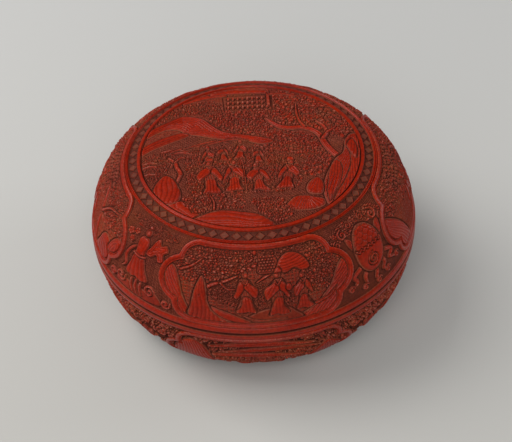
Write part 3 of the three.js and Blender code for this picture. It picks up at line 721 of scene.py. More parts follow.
# shrubs over the bank, along the foot
foliage(crown, [(-58, -58), (-40, -54), (-12, -57), (-8, -74), (-28, -74), (-44, -78), (-54, -74)], 3.6)
foliage(crown, [(0, -66), (20, -64), (28, -70), (34, -82), (22, -92), (10, -84)], 3.4)
stroke(crown, [(-33, -76), (-33, -66), (-36, -58)], [2.4, 1.8, 1.2], 0.95, 0.8, 0.6)
bank = [(-52, -86), (-40, -79), (-28, -76), (-10, -79), (7, -84), (20, -98), (0, -102), (-30, -100)]
shape(crown, bank, 1.0, 2.8, 0.7, streaks(2.2, 0.3, -6, 0.3))

# eight figures, the farther four smaller and half hidden
for guest in (
    (-38, -16, 23, 1, "", "cap", 0, 0.9),
    (-24, -12, 22, -1, "", "bun", 0, 0.9),
    (-9, -10, 24, 1, "", "cap", 0, 0.95),
    (7, -16, 21, -1, "", "bun", 0, 0.9),
    (-35, -54, 43, -1, "", "cap", 0.03),
    (-14, -53, 42, 1, "", "bun", -0.06),
    (8, -54, 38, -1, "staff", "bun", 0.1),
    (29, -52, 38, 1, "", "cap", 0.16),
):
    figure(crown, *guest)

# the plain line that rings the picture
line_width = 0.6
leave(crown, np.s_[:], np.hypot(x, y) - (roundel_radius - line_width), plain, 0.9, 0.7)

# the side of the lid, from the diamond border down to the rim band, worked as a strip that runs round
strip_radius = 135
strip_length = 2 * np.pi * strip_radius
strip_samples = 2828
quarter = strip_length / 4
frets_in_quarter = 66
lozenges_in_quarter = 64
lozenge_height = 0.8
border_radius = roundel_radius + 2 * ring_width + diamond_band
panel_half_width = 52.5
end_lobe = 23
end_lobe_at = 62
corner_lobe = 18
frame_width = 5.6


def joined(first, second, blend):
    """The larger of two distances, with the corner between them rounded over this length."""
    near = np.maximum(blend - np.abs(first - second), 0)
    return np.maximum(first, second) + near**2 / (4 * blend)


def panel_inside(u, v, half_height):
    """How far inside a lobed panel each sample lies: an oblong as high as the carving, with a round lobe
    at each end and at each corner, less the width of its frame."""
    u, v = np.abs(u), np.abs(v)
    oblong = np.minimum(panel_half_width - u, half_height - v)
    end = end_lobe - np.hypot(u - end_lobe_at, v)
    corner = corner_lobe - np.hypot(u - panel_half_width, v - half_height + corner_lobe)
    return joined(joined(oblong, corner, 1), end, 1.5) - frame_width


def frame_height(inside):
    """The plain frame of a panel: a thin bead, a groove and a wide rounded band, from the inside out."""
    edge = eased(np.minimum(-inside, frame_width + inside) / 0.5)
    groove = 0.4 * (1 - eased(np.abs(inside + 1.6) / 0.6))
    round_off = 0.1 * ((inside + 3.8) / 1.8) ** 2
    return plain * (0.35 + 0.65 * edge) - groove - round_off


def from_middle(x, y=0):
    """A way to give points from the middle of a panel that stands at this place."""
    return lambda *points: [(x + a, y + b) for a, b in points]


def rock_garden(patch, x, held=("", "", "fan")):
    """A scene with two tall rocks at one side, three figures by a canopy, and a slope at the other."""
    at = from_middle(x)
    trees = at((-74, 50), (-66, 66), (-48, 71), (-14, 71), (2, 70), (-2, 58), (-20, 46), (-42, 44), (-60, 40))
    foliage(patch, trees, 3.8)
    foliage(patch, at((44, 60), (60, 66), (74, 56), (81, 44), (78, 28), (60, 28), (42, 30), (42, 46)), 3.6)
    foliage(patch, at((4, 71), (20, 66), (46, 66), (62, 70), (40, 73), (20, 73)), 2.3)
    foliage(patch, at((-40, 40), (-24, 44), (0, 42), (22, 40), (30, 24), (4, 20), (-18, 22), (-36, 28)), 2.4)
    stroke(patch, at((-44, 34), (-38, 40), (-26, 45), (-16, 50)), [3.4, 3.2, 2.8, 1.8], 1, 1.2, 0.8)
    stroke(patch, at((-66, 48), (-56, 54), (-48, 62)), [2.6, 2.4, 1.4], 0.95, 0.9, 0.6)
    stroke(patch, at((-30, 43), (-24, 38), (-18, 38)), [2, 1.6, 1.1], 1, 0.8, 0.6)
    stroke(patch, at((0, 44), (8, 49), (17, 53)), [1.2, 2.2, 1.4], 1, 0.9, 0.7)
    shape(patch, at((1, 53), (4, 64), (12, 68), (19, 64), (18, 54), (10, 51)), 0.62, 0.9, 0.7)
    for row, b in enumerate(np.arange(54, 67, 2.4)):
        for a in np.arange(3.5, 17.5, 2.8) + 1.4 * (row % 2):
            oval(patch, x + a, b, 2.5, 2.1, 0.98, 0.8, 0.3)
    canopy = at((18, 54), (21, 62), (28, 67), (37, 66), (44, 60), (47, 51), (40, 49), (33, 53), (25, 50))
    shape(patch, canopy, 1.0, 1.6, 0.8, streaks(2.2, 0.28, 8, 0.1, 0.8))
    slope = at((28, 4), (42, 13), (50, 18), (54, 22), (62, 30), (68, 40), (75, 47), (81, 44), (82, 32),
               (78, 20), (70, 4))
    shape(patch, slope, 0.96, 2.4, 1.0, streaks(2.3, 0.36, 40, 0.05))
    stroke(patch, at((38, 14), (49, 17), (59, 20), (66, 26)), [1.4, 2.4, 2.2, 1.0], 1.0, 0.9, 0.5)
    shape(patch, at((-12, 4), (-8, 12), (6, 19), (22, 20), (30, 14), (34, 4)), 0.58, 1.6, 0.8)
    stroke(patch, at((-12, 13), (0, 8), (22, 8)), [0.9, 1.6, 0.9], 0.9, 0.7, 0.5)
    low_bank = at((-42, 20), (-30, 18), (-15, 12), (-4, 4), (-30, 3))
    shape(patch, low_bank, 0.9, 1.8, 0.8, streaks(3.4, 0.16, -24, 0.3))
    near_rock = at((-81, 40), (-79, 47), (-75, 50), (-70, 47), (-65, 37), (-61, 25), (-55, 12), (-52, 4),
                   (-62, 3), (-70, 14), (-77, 28))
    shape(patch, near_rock, 1.0, 2.4, 1.0, streaks(2.3, 0.36, -62, 0.05, 0.8))
    cone = at((-54, 5), (-54, 18), (-52, 32), (-49, 43), (-46, 47), (-42, 39), (-40, 25), (-36, 16),
              (-27, 9), (-17, 4))
    shape(patch, cone, 1.0, 2.4, 1.0, folds(x - 47, 62, 4.4, 0.32, 0.5))
    figure(patch, x - 8, 16, 39, 1, held[0], "bun", -0.06)
    figure(patch, x + 16, 13, 41, -1, held[1], "cap", -0.06)
    figure(patch, x + 37, 15, 34, -1, held[2], "bun", -0.06)


def grove(patch, x, crag_top=1.0):
    """A scene of trees over rocks and clouds, with two figures on a path."""
    at = from_middle(x)
    trees = at((-76, 46), (-62, 66), (-24, 72), (20, 72), (60, 68), (80, 44), (52, 42), (0, 50), (-50, 46))
    foliage(patch, trees, 3.4)
    pine(patch, at((-32, 70), (10, 70), (22, 56), (4, 46), (-26, 50)), 3.2)
    trunk = at((34, 6), (34, 24), (33, 42), (22, 57), (12, 60))
    stroke(patch, trunk, [6, 5.6, 4.8, 3.4, 2], 1, 1.8, 1.0, lines=2.2)
    stroke(patch, at((34, 42), (44, 52), (58, 56)), [3.6, 2.8, 1.6], 1, 1.2, 0.8)
    cloud(patch, x - 28, 42, 8)
    cloud(patch, x + 50, 40, 7, -1)
    crag = at((-82, 24), (-70, 8), (-56, 3), (-42, 4), (-46, 16), (-54, 30), (-64, 42), (-76, 50), (-82, 44))
    shape(patch, crag, crag_top, 2.4, 1.0, folds(x - 104, 74, 2.2, 0.2))
    figure(patch, x - 15, 12, 38, 1, "staff", "cap", 0.05)
    figure(patch, x + 9, 12, 35, -1, "", "bun", 0.05)
    mound = at((38, 4), (44, 20), (50, 30), (58, 33), (64, 27), (70, 12), (74, 4))
    shape(patch, mound, 0.96, 2.2, 0.9, folds(x + 56, 50, 6, 0.2))
    boulder = at((62, 24), (66, 34), (72, 40), (79, 40), (81, 30), (76, 16), (68, 14))
    shape(patch, boulder, 0.98, 1.8, 0.8, contours(2.6))
    bank = at((-60, 4), (-30, 12), (-8, 11), (20, 13), (36, 9), (64, 4), (0, 2))
    shape(patch, bank, 0.9, 1.8, 0.8, streaks(3.2, 0.2, 2, 0.3))


def dancer(patch, x):
    """A robed figure with long floating scarves over curls of cloud, which stands between two panels."""
    at = from_middle(x)
    foliage(patch, at((-34, 70), (-10, 74), (12, 74), (30, 70), (20, 66), (-20, 66)), 2.5)
    shape(patch, at((-24, 3), (-18, 15), (-8, 12), (0, 16), (9, 12), (18, 16), (24, 3)), 0.7, 1.4, 0.8)
    for a, b, size, hand in ((14, 14, 6, 1), (-19, 13, 6, -1), (-30, 8, 4.5, 1), (30, 9, 4.5, -1)):
        curl(patch, x + a, b, size, 1.4, 2.6, 20, hand, 0.98)
    for a in (-5.5, -0.5, 4.5):
        stroke(patch, at((a, 20), (a - 1, 12), (a + 1, 4)), [2.4, 3.4, 1.8], 0.95, 0.9, 0.6)
    scarf = at((2, 48), (6, 54), (9, 62), (13, 65), (16, 60), (21, 62), (25, 57), (21, 53), (23, 47),
               (17, 45), (14, 50), (9, 46))
    shape(patch, scarf, 1.0, 1.4, 0.8, contours(2.1, 0.35))
    trailing_scarf = at((-6, 50), (-13, 45), (-17, 36), (-15, 28), (-20, 22))
    stroke(patch, trailing_scarf, [2.4, 3.4, 3.8, 3.2, 1.4], 0.95, 1.2, 0.8, lines=1.8)
    for a, b, size in ((-22, 57, 4.2), (-15, 60, 3.6), (-17, 52, 3.4)):
        blossom(patch, x + a, b, size)
    skirt = at((-8, 42), (3, 42), (7, 32), (11, 22), (3, 19), (-2, 21), (-7, 19), (-14, 22), (-11, 32))
    shape(patch, skirt, 0.94, 1.6, 0.8, folds(x - 3, 64, 7, 0.24, 0.1))
    torso = at((-9, 56), (-6, 60), (1, 60), (4, 55), (3, 48), (2, 43), (-7, 43), (-8, 48))
    shape(patch, torso, 1.0, 1.6, 0.7, streaks(3.2, 0.18, 70, 0.5, 0.2))
    stroke(patch, at((-9, 43), (-2.5, 41.5), (4, 43)), [2.2, 2.6, 2.2], 1.0, 0.8, 0.5)
    oval(patch, x - 2.5, 64.5, 7.4, 8.4, 0.85, 1.0, 0.7)
    oval(patch, x - 2, 64, 5.6, 6.4, 1.0, 1.6, 0.2)
    oval(patch, x - 2.5, 69.5, 4.6, 3.6, 0.95, 0.8, 0.4)


def jar(patch, x):
    """A round jar with two scroll ears, on curling feet, between two panels."""
    at = from_middle(x)
    foliage(patch, at((-34, 52), (-24, 72), (26, 72), (34, 54), (16, 60), (-16, 60)), 3.4)
    smooth_ground = at((-44, 1), (-32, 24), (-34, 48), (-22, 60), (22, 60), (34, 48), (32, 24), (44, 1))
    shape(patch, smooth_ground, 0.24, 1.0, 0)
    for a, b, size, hand in ((-20, 64, 5, 1), (-9, 69, 3.6, -1), (9, 69, 3.6, 1), (21, 64, 6, -1),
                             (30, 56, 4, 1), (-29, 58, 4, 1)):
        curl(patch, x + a, b, size, 1.4, size * 0.45, 90, hand, 0.96)
    for ear in (at((-11, 46), (-14, 56), (-20, 60), (-19, 51), (-14, 44)),
                at((13, 46), (17, 56), (24, 58), (22, 49), (17, 43))):
        shape(patch, ear, 0.85, 1.6, 0.8, contours(2.2))
    for a, b, out in ((-7, 25, -5), (1, 22, 1), (8, 25, 5), (13, 30, 12), (-12, 30, -12)):
        foot = at((a, b), (a + out * 0.9, b - 6), (a + out * 0.6 - 1, b - 12), (a + out * 1.2 + 2, b - 17))
        stroke(patch, foot, [4.6, 4.2, 3.6, 2.6], 0.95, 1.3, 0.9)
        curl(patch, x + (a + out * 1.3 + 1), b - 17, 3.4, 1.2, 2.2, 30, 1, 1.0)
    body = at((-8, 62), (-14, 53), (-16, 40), (-13, 28), (-6, 20), (1, 18), (9, 21), (15, 29), (17, 41),
              (15, 53), (9, 62), (0, 65))
    shape(patch, body, 1.0, 4, 1.2, scales(x, 43.5, 4.4))
    shoulder_line = at(*[(-14 + 2.4 * k, 43 + 1.1 * (-1) ** k) for k in range(13)])
    stroke(patch, shoulder_line, [1.6, 1.6], 1.04, 0.6, 0.5)
    curl(patch, x + 1, 30, 6.5, 1.9, 2.2, 90, 1, 1.0)


def strip(length, top, samples):
    """A patch that runs once round the box."""
    step = length / samples
    return Patch(0, length - step, 0, top, step, length)


def carved_side(wall, border_run, panels, corners):
    """The side of one half: panels in their frames, with what stands between them."""
    top = wall.length - rim_band - border_run
    patch, between = (strip(strip_length, top, strip_samples) for _ in range(2))
    half_height = patch.y[-1, 0] / 2
    patch.height[:] = key_frets(patch.x, patch.y, quarter / frets_in_quarter)
    between.height[:] = diaper(patch.x, patch.y, quarter / lozenges_in_quarter) * lozenge_height
    inside = np.full(patch.x.shape, -1e9)
    for k, draw_panel in enumerate(panels):
        draw_panel(patch, k * quarter)
        for turn in (0, strip_length):
            away = patch.x - k * quarter - turn
            inside = np.maximum(inside, panel_inside(away, patch.y - half_height, half_height))
    for k, draw_corner in enumerate(corners):
        draw_corner(between, (k + 0.5) * quarter)
    edge = np.minimum(1, eased((np.abs(inside + frame_width / 2) - frame_width / 2) / 0.7) + 0.15)
    field = np.where(inside > 0, patch.height, between.height) * edge
    patch.height[:] = np.where((inside < 0) & (inside > -frame_width), frame_height(inside), field)
    return patch


lid_wall = Wall(lid_rise, lid_joint, 1, lid_powers)
lid_border_run = lid_wall.run_at_radius(border_radius)
lid_panels = [rock_garden, grove, lambda patch, x: rock_garden(patch, x, ("staff", "fan", "")),
              lambda patch, x: grove(patch, x, 0.95)]
lid_side = carved_side(lid_wall, lid_border_run, lid_panels, [jar, dancer, jar, dancer])

# the border round the picture: small flat diamonds, each on a square of lacquer with fine hatching
diamond_count = 66
diamond_length = 8.6
diamond_width = 7.8
diamond_slope = 2.9  # from a diamond's middle to its sides, in mm


def border_height(radius, azimuth):
    """The two plain rings and the row of diamonds between them."""
    pitch = 2 * np.pi / diamond_count
    middle = roundel_radius + ring_width + diamond_band / 2
    along = ((azimuth / pitch) % 1 - 0.5) * pitch * middle
    across = radius - middle
    inside = (1 - np.abs(2 * along) / diamond_length - np.abs(2 * across) / diamond_width) * diamond_slope
    hatch = 0.12 * np.cos(2 * np.pi * (along + across) / 1.6) * np.cos(2 * np.pi * (along - across) / 1.6)
    cell = np.where(inside > 0.6, 0.46 + hatch * 0.6, 0.6)
    floor = np.where(inside > 0, cell, np.where(inside > -0.45, 0.16, 0.3 + hatch))
    from_edge = diamond_band / 2 - np.abs(across)
    floor = np.where(from_edge < 0.5, 0.3, floor)
    ring = np.minimum(-from_edge, border_radius - radius)
    groove = 0.55 * (1 - eased(np.abs(border_radius - ring_width / 2 - radius) / 0.45))
    return np.where(from_edge < 0, plain * (0.4 + 0.6 * eased(ring / 0.6)) - groove, floor)


def depth_of(height):
    """How deep under the outline a height of the carving lies."""
    return np.maximum(0, carving_sink + (1 - height) * cut_depth)


def ring_points(r, z, azimuth):
    """Points at these radii and heights. Azimuth 0 is the front, and it grows to the right."""
    return np.stack([r * np.sin(azimuth), -r * np.cos(azimuth), z + 0 * azimuth], axis=-1)


def grid_normals(points, wraps):
    """The normal at each point of a grid, on the side from which its columns turn left into its rows."""
    if wraps:
        across = np.roll(points, -1, axis=1) - np.roll(points, 1, axis=1)
    else:
        across = np.gradient(points, axis=1)
    normal = np.cross(across, np.gradient(points, axis=0))
    return normal / np.maximum(np.linalg.norm(normal, axis=2, keepdims=True), 1e-12)


def slab(name, outer, bed, normals, relief, hollow):
    """A closed piece of the coat: its carved face, the smooth bed under it, and the sides between them. On
    the flat sheet of its surface the face fills most of the square, and the bed has a strip of its own."""
    rows, count = outer.shape[:2]
    bed_rows, bed_count = bed.shape[:2]
    total, bed_total = rows * count, bed_rows * bed_count
    uv = []
    for low, high, up, across in ((0.01, 0.93, rows, count), (0.95, 0.99, bed_rows, bed_count)):
        v, u = np.meshgrid(np.linspace(low, high, up), np.linspace(0.01, 0.99, across), indexing="ij")
        uv.append(np.stack([u, v], -1).reshape(-1, 2))
    front = np.arange(total).reshape(rows, count)
    back = total + np.arange(bed_total).reshape(bed_rows, bed_count)
    quads = np.concatenate([grid_faces(rows, count), total + grid_faces(bed_rows, bed_count)[:, ::-1]])
    rings = []
    for side in (np.s_[0], np.s_[:, -1], np.s_[-1, ::-1], np.s_[::-1, 0]):
        upper, lower = front[side], back[side]
        for i in range(len(lower) - 1):
            chain = upper[i * coarse:(i + 1) * coarse + 1]
            rings.append(np.concatenate([chain, [lower[i + 1], lower[i]]])[::-1])
    points = np.concatenate([outer.reshape(-1, 3), bed.reshape(-1, 3)])
    normals = np.concatenate([normals.reshape(-1, 3), np.tile((0, 0, 1.0), (bed_total, 1))])
    marks = {
        "relief": np.append(relief, np.zeros(bed_total)),
        "hollow": np.append(hollow, np.zeros(bed_total)),
    }
    return mesh_object(name, points, quads, rings, marks, np.concatenate(uv), normals)


def finished(piece, coat, body, node):
    """Gives a piece its coat, its body and the solid whose place it takes."""
    piece.data.materials.append(coat)
    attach(piece, body)
    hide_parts(node)


rim_flange = 1.6
flange_radius = 140
rim_round = 2.7
coarse = 8  # the bed of the coat has one face for so many of its carved face, each way


def coat_quarters(name, wall, way, side, start_run, side_run, rows, borders, body, node):
    """The side of one half of the coat, in four quarters that meet edge to edge."""
    azimuth = 2 * np.pi * np.arange(columns + 1) / columns
    run = np.linspace(start_run, wall.length - rim_round, rows + 1)
    runs, azimuths = np.meshgrid(run, azimuth, indexing="ij")
    up = runs - side_run if way < 0 else side.y[-1, 0] - (runs - side_run)
    around = azimuths * strip_radius % strip_length
    height = side.read(side.height, around, up)
    hollow = height - side.read(side.softened(), around, up)
    height, plain_part = borders(runs, azimuths, height)
    # on the plain parts the hollow is made from the height, so that the material paints shade into their
    # grooves and cells
    hollow = np.where(plain_part, np.clip(height - 0.8, -0.4, 0.1), hollow)
    r, z = wall.at(runs, depth_of(height))

    def turn_in(values, last):
        """Adds the rows of the edge, which is rounded and turns in under the wall."""
        return np.vstack([values, np.broadcast_to(last, (coarse, columns + 1))])

    bend = np.radians([22, 45, 68, 90])  # four rows round the edge, and four more across the flange
    edge_radius = rim_radius - rim_round * (1 - np.cos(bend))
    edge_radius = np.append(edge_radius, np.linspace(edge_radius[-1], flange_radius, 5)[1:])[:, None]
    edge_up = way * rim_round * np.append(1 - np.sin(bend), np.zeros(4))[:, None]
    outer = ring_points(turn_in(r, edge_radius), turn_in(z, wall.z[-1] + edge_up), turn_in(azimuths, azimuth))
    # painted shade: the rows round the rounded edge get low relief values, which only darken their colour
    # towards the joint
    edge_shade = np.array([[0.6, 0.15, 0, 0, 0, 0, 0, 0]]).T  # the edge darkens towards the joint
    height, hollow = turn_in(height, edge_shade), turn_in(hollow, 0)
    normals = grid_normals(outer[:, :-1], True) * -way
    normals = np.concatenate([normals, normals[:, :1]], axis=1)
    bed_runs = np.linspace(start_run, wall.length - rim_flange, rows // coarse + 1)
    bed_r, bed_z = wall.at(bed_runs, coat_thickness)
    bed_r, bed_z = np.append(bed_r, flange_radius), np.append(bed_z, bed_z[-1])
    bed = ring_points(bed_r[:, None], bed_z[:, None], azimuth[None, ::coarse])
    count = columns // 4
    for k in range(4):
        fine = np.s_[:, k * count:(k + 1) * count + 1]
        rough = np.s_[:, k * count // coarse:(k + 1) * count // coarse + 1]
        parts = [outer[fine], bed[rough], normals[fine], height[fine], hollow[fine]]
        parts = [part[:, ::-way] for part in parts]
        finished(slab(f"{name}_{k + 1}", *parts), red_lacquer, body, node)


def carved_lacquer_nodes(sheet):
    """Red lacquer: darker in the cuts, from dust and painted shade, and painted shade in the hollows;
    glossier on the uncut tops, and with painted pale glints on the ridges.
    """
    relief, hollow = sheet.attribute("relief"), sheet.attribute("hollow")
    place = sheet.place()
    blotch = sheet.noise(38, 4, 0.6, place)
    fine = sheet.noise(420, 3, 0.6, place)
    grit = sheet.noise(1500, 2, 0.6, place)
    # colour by height: the two lowest stops are painted shade in the deep cuts, the 0.4 stop is the dusty
    # ground, and the upper stops are the red lacquer
    cuts = [(0.0, (0.03, 0.007, 0.004)), (0.2, (0.085, 0.016, 0.008)), (0.4, (0.18, 0.034, 0.018)),
            (0.62, (0.21, 0.02, 0.008)), (0.8, (0.275, 0.011, 0.001))]
    ledge = sheet.ramp(relief, [(0.4, 0.0), (0.46, 1.0), (0.5, 1.0), (0.56, 0.0)])
    worn = sheet.ramp(hollow, [(0.0, 0.0), (0.14, 0.0), (0.45, 1.0)])
    # painted shade: the hollows between the shapes are darkened towards near black
    hollow_shade = sheet.ramp(sheet.times(hollow, -1.0), [(0.05, 0.0), (0.42, 1.0)])
    # painted highlight: pale glints laid in spots over the worn ridges
    glint = sheet.times(worn, sheet.ramp(sheet.noise(700, 2, 0.6, place), [(0.44, 0.0), (0.6, 1.0)]))
    rubbed = sheet.ramp(sheet.noise(150, 4, 0.7, place), [(0.42, 0.0), (0.62, 1.0)])
    colour = sheet.ramp(relief, cuts)
    for mask, share, upper in (
        (ledge, 0.3, (0.34, 0.15, 0.095)),
        (worn, 0.4, (0.3, 0.02, 0.006)),
        (glint, 0.4, (0.46, 0.26, 0.18)),
        (hollow_shade, 0.6, (0.035, 0.014, 0.011)),
        (rubbed, 0.3, (0.15, 0.024, 0.012)),
    ):
        colour = sheet.over(colour, mask, share, upper)
    shade = sheet.ramp(blotch, [(0.3, (0.84, 0.74, 0.8)), (0.5, 1.0), (0.7, (1.08, 1.12, 0.85))])
    for tint in (shade, sheet.ramp(fine, [(0.35, 0.78), (0.65, 1.14)])):
        colour = sheet.mix(1.0, colour, tint, "MULTIPLY")
    rough = sheet.ramp(relief, [(0.1, 0.7), (0.6, 0.6), (0.8, 0.44), (1.0, 0.38)])
    rough = sheet.math("ADD", rough, sheet.times(sheet.math("SUBTRACT", fine, 0.5), 0.16))
    gloss = sheet.span(relief, 0.6, 1.1, 0, 0.22)
    surface = sheet.math("ADD", sheet.times(fine, 0.7), sheet.times(grit, 0.3))
    normal = sheet.bump(surface, 0.5, 0.00025)
    return {"Base Color": colour, "Roughness": rough, "Coat Weight": gloss, "Normal": normal}


red_lacquer = material(
    "carved red lacquer", carved_lacquer_nodes, Coat_Roughness=0.2, Specular_IOR_Level=0.07
)


def rim_band_height(from_band):
    """The plain band at the joint: a rounded bead, with a line cut along its far edge."""
    round_off = 0.16 * ((from_band - 4) / 3) ** 2
    return plain - 0.3 * (1 - eased(np.abs(from_band - 0.6) / 0.6)) - round_off


def lid_borders(runs, azimuths, height):
    """The rings and diamonds above the carved side, and the plain rim band below it."""
    above, from_band = runs < lid_border_run, runs - (lid_wall.length - rim_band)
    border = border_height(np.interp(runs, lid_wall.run, lid_wall.r), azimuths)
    height = np.where(above, border, np.where(from_band > 0, rim_band_height(from_band), height))
    return height, above | (from_band > 0)


lid_rows = 232
lid_start = lid_wall.run_at_radius(roundel_radius)
coat_quarters("lid_red_coat_quarter", lid_wall, 1, lid_side, lid_start, lid_border_run, lid_rows,
              lid_borders, "lid", "lid_carved_lacquer")


# the crown's disc, on a grid of squares drawn round to meet the rings
crown_steps = 480
a, b = np.meshgrid(np.linspace(-1, 1, crown_steps + 1), np.linspace(-1, 1, crown_steps + 1))
reach = np.maximum(np.abs(a), np.abs(b))
blend = reach**2
scale = roundel_radius * ((1 - blend) + blend * reach / np.maximum(np.hypot(a, b), 1e-9))
disc_x, disc_y = a * scale, b * scale
disc_relief = crown.read(crown.height, disc_x, disc_y)
disc_hollow = disc_relief - crown.read(crown.softened(), disc_x, disc_y)
on_rim = reach > 1 - 0.5 / crown_steps


def crown_points(x, y, depth):
    """Points over these places on the crown, this deep under the outline."""
    radius = np.hypot(x, y)
    r, z = lid_wall.at(lid_wall.run_at_radius(radius), depth)
    share = r / np.maximum(radius, 1e-6)
    return np.stack([x * share, y * share, z], axis=-1)


disc_relief[on_rim] = border_height(roundel_radius, 0)
disc_outer = crown_points(disc_x, disc_y, np.maximum(depth_of(disc_relief), carving_sink * (1 - on_rim)))
disc_bed = crown_points(disc_x[::coarse, ::coarse], disc_y[::coarse, ::coarse], coat_thickness)
disc_normals = grid_normals(disc_outer, False)
crown_piece = slab("lid_red_coat_crown", disc_outer, disc_bed, disc_normals, disc_relief, disc_hollow)
finished(crown_piece, red_lacquer, "lid", "lid_carved_lacquer")

# The base's red coat: the same layers of lacquer as the lid's, carved to match it, from the rim band at
# the joint down to a plain border round the foot.
base_drop = 70
base_powers = (10, 1.6)
foot_border = 4
coat_end_radius = 106.3


def sea_garden(patch, x):
    """Waves and rocks under clouds, in a panel of the base."""
    at = from_middle(x)
    trees = at((-80, 44), (-66, 66), (-30, 74), (30, 74), (66, 66), (80, 44), (60, 36), (0, 40), (-60, 36))
    foliage(patch, trees, 3.6)
    for a, b, size, hand in ((-24, 64, 6, 1), (48, 60, 6, -1), (-6, 48, 7, 1), (30, 66, 5, 1)):
        cloud(patch, x + a, b, size, hand)
    for a, b, size, hand in ((-64, 22, 12, 1), (-38, 20, 13, 1), (-12, 20, 12, -1), (14, 22, 13, 1),
                             (40, 20, 12, -1), (66, 22, 12, -1)):
        wave(patch, x + a, b, size, hand)
    for a, b, top in ((4, 68, 0.95), (12, 59, 0.85), (-4, 50, 0.95)):
        bank = at((a - 46, b - 5), (a - 18, b + 2), (a + 14, b + 1), (a + 42, b - 8))
        stroke(patch, bank, [2, 6.5, 6, 2], top, 1.2, 1.6, lines=2.1)
    left_rocks = at((-78, 36), (-70, 10), (-56, 4), (-38, 8), (-40, 28), (-42, 52), (-50, 68), (-62, 66),
                    (-72, 52))
    shape(patch, left_rocks, 1.0, 2.4, 1.0, folds(x - 58, 100, 3.2, 0.2))
    middle_rocks = at((-26, 4), (-20, 24), (-12, 28), (0, 18), (12, 22), (20, 28), (28, 4))
    shape(patch, middle_rocks, 1.0, 2.0, 0.9, folds(x, 50, 7))
    right_rocks = at((42, 5), (44, 30), (50, 46), (58, 56), (66, 50), (76, 36), (70, 16), (62, 5))
    shape(patch, right_rocks, 1.0, 2.2, 0.9, folds(x + 50, 84, 3.4, 0.2))


def lotus(patch, x):
    """A lotus on scrolling stems, between two panels of the base."""
    y = 39
    at = from_middle(x, y)
    foliage(patch, at((-40, 30), (-26, 20), (26, 20), (40, 30), (34, 40), (-34, 40)), 3.4)
    for a, b, hand in ((-26, 30, 1), (-10, 31, -1), (8, 31, 1), (24, 31, -1)):
        curl(patch, x + a, y + b, 5, 1.4, 2.0, 90, hand, 1.0)
    for hand in (-1, 1):
        stem = at((0, -22), (hand * 12, -26), (hand * 22, -14), (hand * 18, 0), (hand * 26, 14))
        stroke(patch, stem, [2.6, 2.4, 2.2, 2, 1.4], 0.9, 0.9, 0.7)
        curl(patch, x + hand * 22, y + 22, 6, 1.5, 2.4, 90, hand, 0.9)
        curl(patch, x + hand * 12, y - 12, 5, 1.5, 2.2, -90, -hand, 0.9)
        curl(patch, x + hand * 27, y - 6, 4, 1.3, 2.0, 0, hand, 0.85)
    for k, a in enumerate((-60, 60, -32, 32, 0)):
        c, s = math.sin(math.radians(a)), math.cos(math.radians(a))
        petal = at((0, -4), (-5 * s + 7 * c, 5 * c + 7 * s), (16 * c, 16 * s - 1),
                   (5 * s + 7 * c, -5 * c + 7 * s))
        shape(patch, petal, 0.86 + 0.03 * k, 1.4, 0.7, contours(1.8))
    oval(patch, x, y - 5, 12, 6, 1.0, 1.2)
    foliage(patch, at((-8, -36), (8, -36), (6, -28), (-6, -28)), 2.6)


base_wall = Wall(base_drop, base_joint, -1, base_powers)
base_start = base_wall.run_at_radius(coat_end_radius)
base_side_run = base_start + foot_border
base_side = carved_side(base_wall, base_side_run, [sea_garden] * 4, [lotus] * 4)
deeper = 0.2  # the base is cut this much deeper than the lid between its highest parts
base_side.height -= deeper * eased((0.95 - base_side.height) / 0.3)


def base_borders(runs, azimuths, height):
    """The plain border at the foot, and the rim band at the joint."""
    from_foot, from_band = runs - base_side_run, runs - (base_wall.length - rim_band)
    border = plain * (0.5 + 0.5 * eased(-from_foot / 0.6))
    height = np.where(from_foot < 0, border, np.where(from_band > 0, rim_band_height(from_band), height))
    return height, (from_foot < 0) | (from_band > 0)


base_rows = 192
coat_quarters("base_red_coat_quarter", base_wall, -1, base_side, base_start, base_side_run, base_rows,
              base_borders, "base", "base_carved_lacquer")


# The foot ring's red coat: red lacquer over the bent wood hoop that is glued under the base, with a row
# of key frets cut round its outer face, and a plain edge where it stands on the table.
foot_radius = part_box("base_foot_lacquer")[1].x / mm
foot_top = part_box("base_foot_lacquer")[1].z / mm
foot_coat = 1.2
foot_inside = 97.8
foot_segments = 1080
foot_length = 2 * np.pi * foot_radius
foot_samples = 2664
foot_frets = strip(foot_length, foot_top, foot_samples)
foot_frets.height[:] = 0.2
fret_depth = 0.7
fret_line = 1.1
fret_count = 66
fret_pitch = foot_length / fret_count
fret_border = 1.6
fret_height = foot_top - foot_coat - 2 * fret_border
fret = np.array([(-0.5, 0.1), (-0.5, 0.9), (0.3, 0.9), (0.3, 0.3), (-0.2, 0.3), (-0.2, 0.62), (0.06, 0.62)])
for k in range(fret_count):
    corners = fret * (-1 if k % 2 else 1, 1)
    places = corners * (fret_pitch * 0.9, fret_height) + ((k + 0.5) * fret_pitch, fret_border)
    for start, end in zip(places[:-1], places[1:]):
        stroke(foot_frets, [start, end], [fret_line, fret_line], 0.8, 0.4, 0)


sharp_corner = 30  # in degrees; a turned piece is shaded smooth over any lesser bend


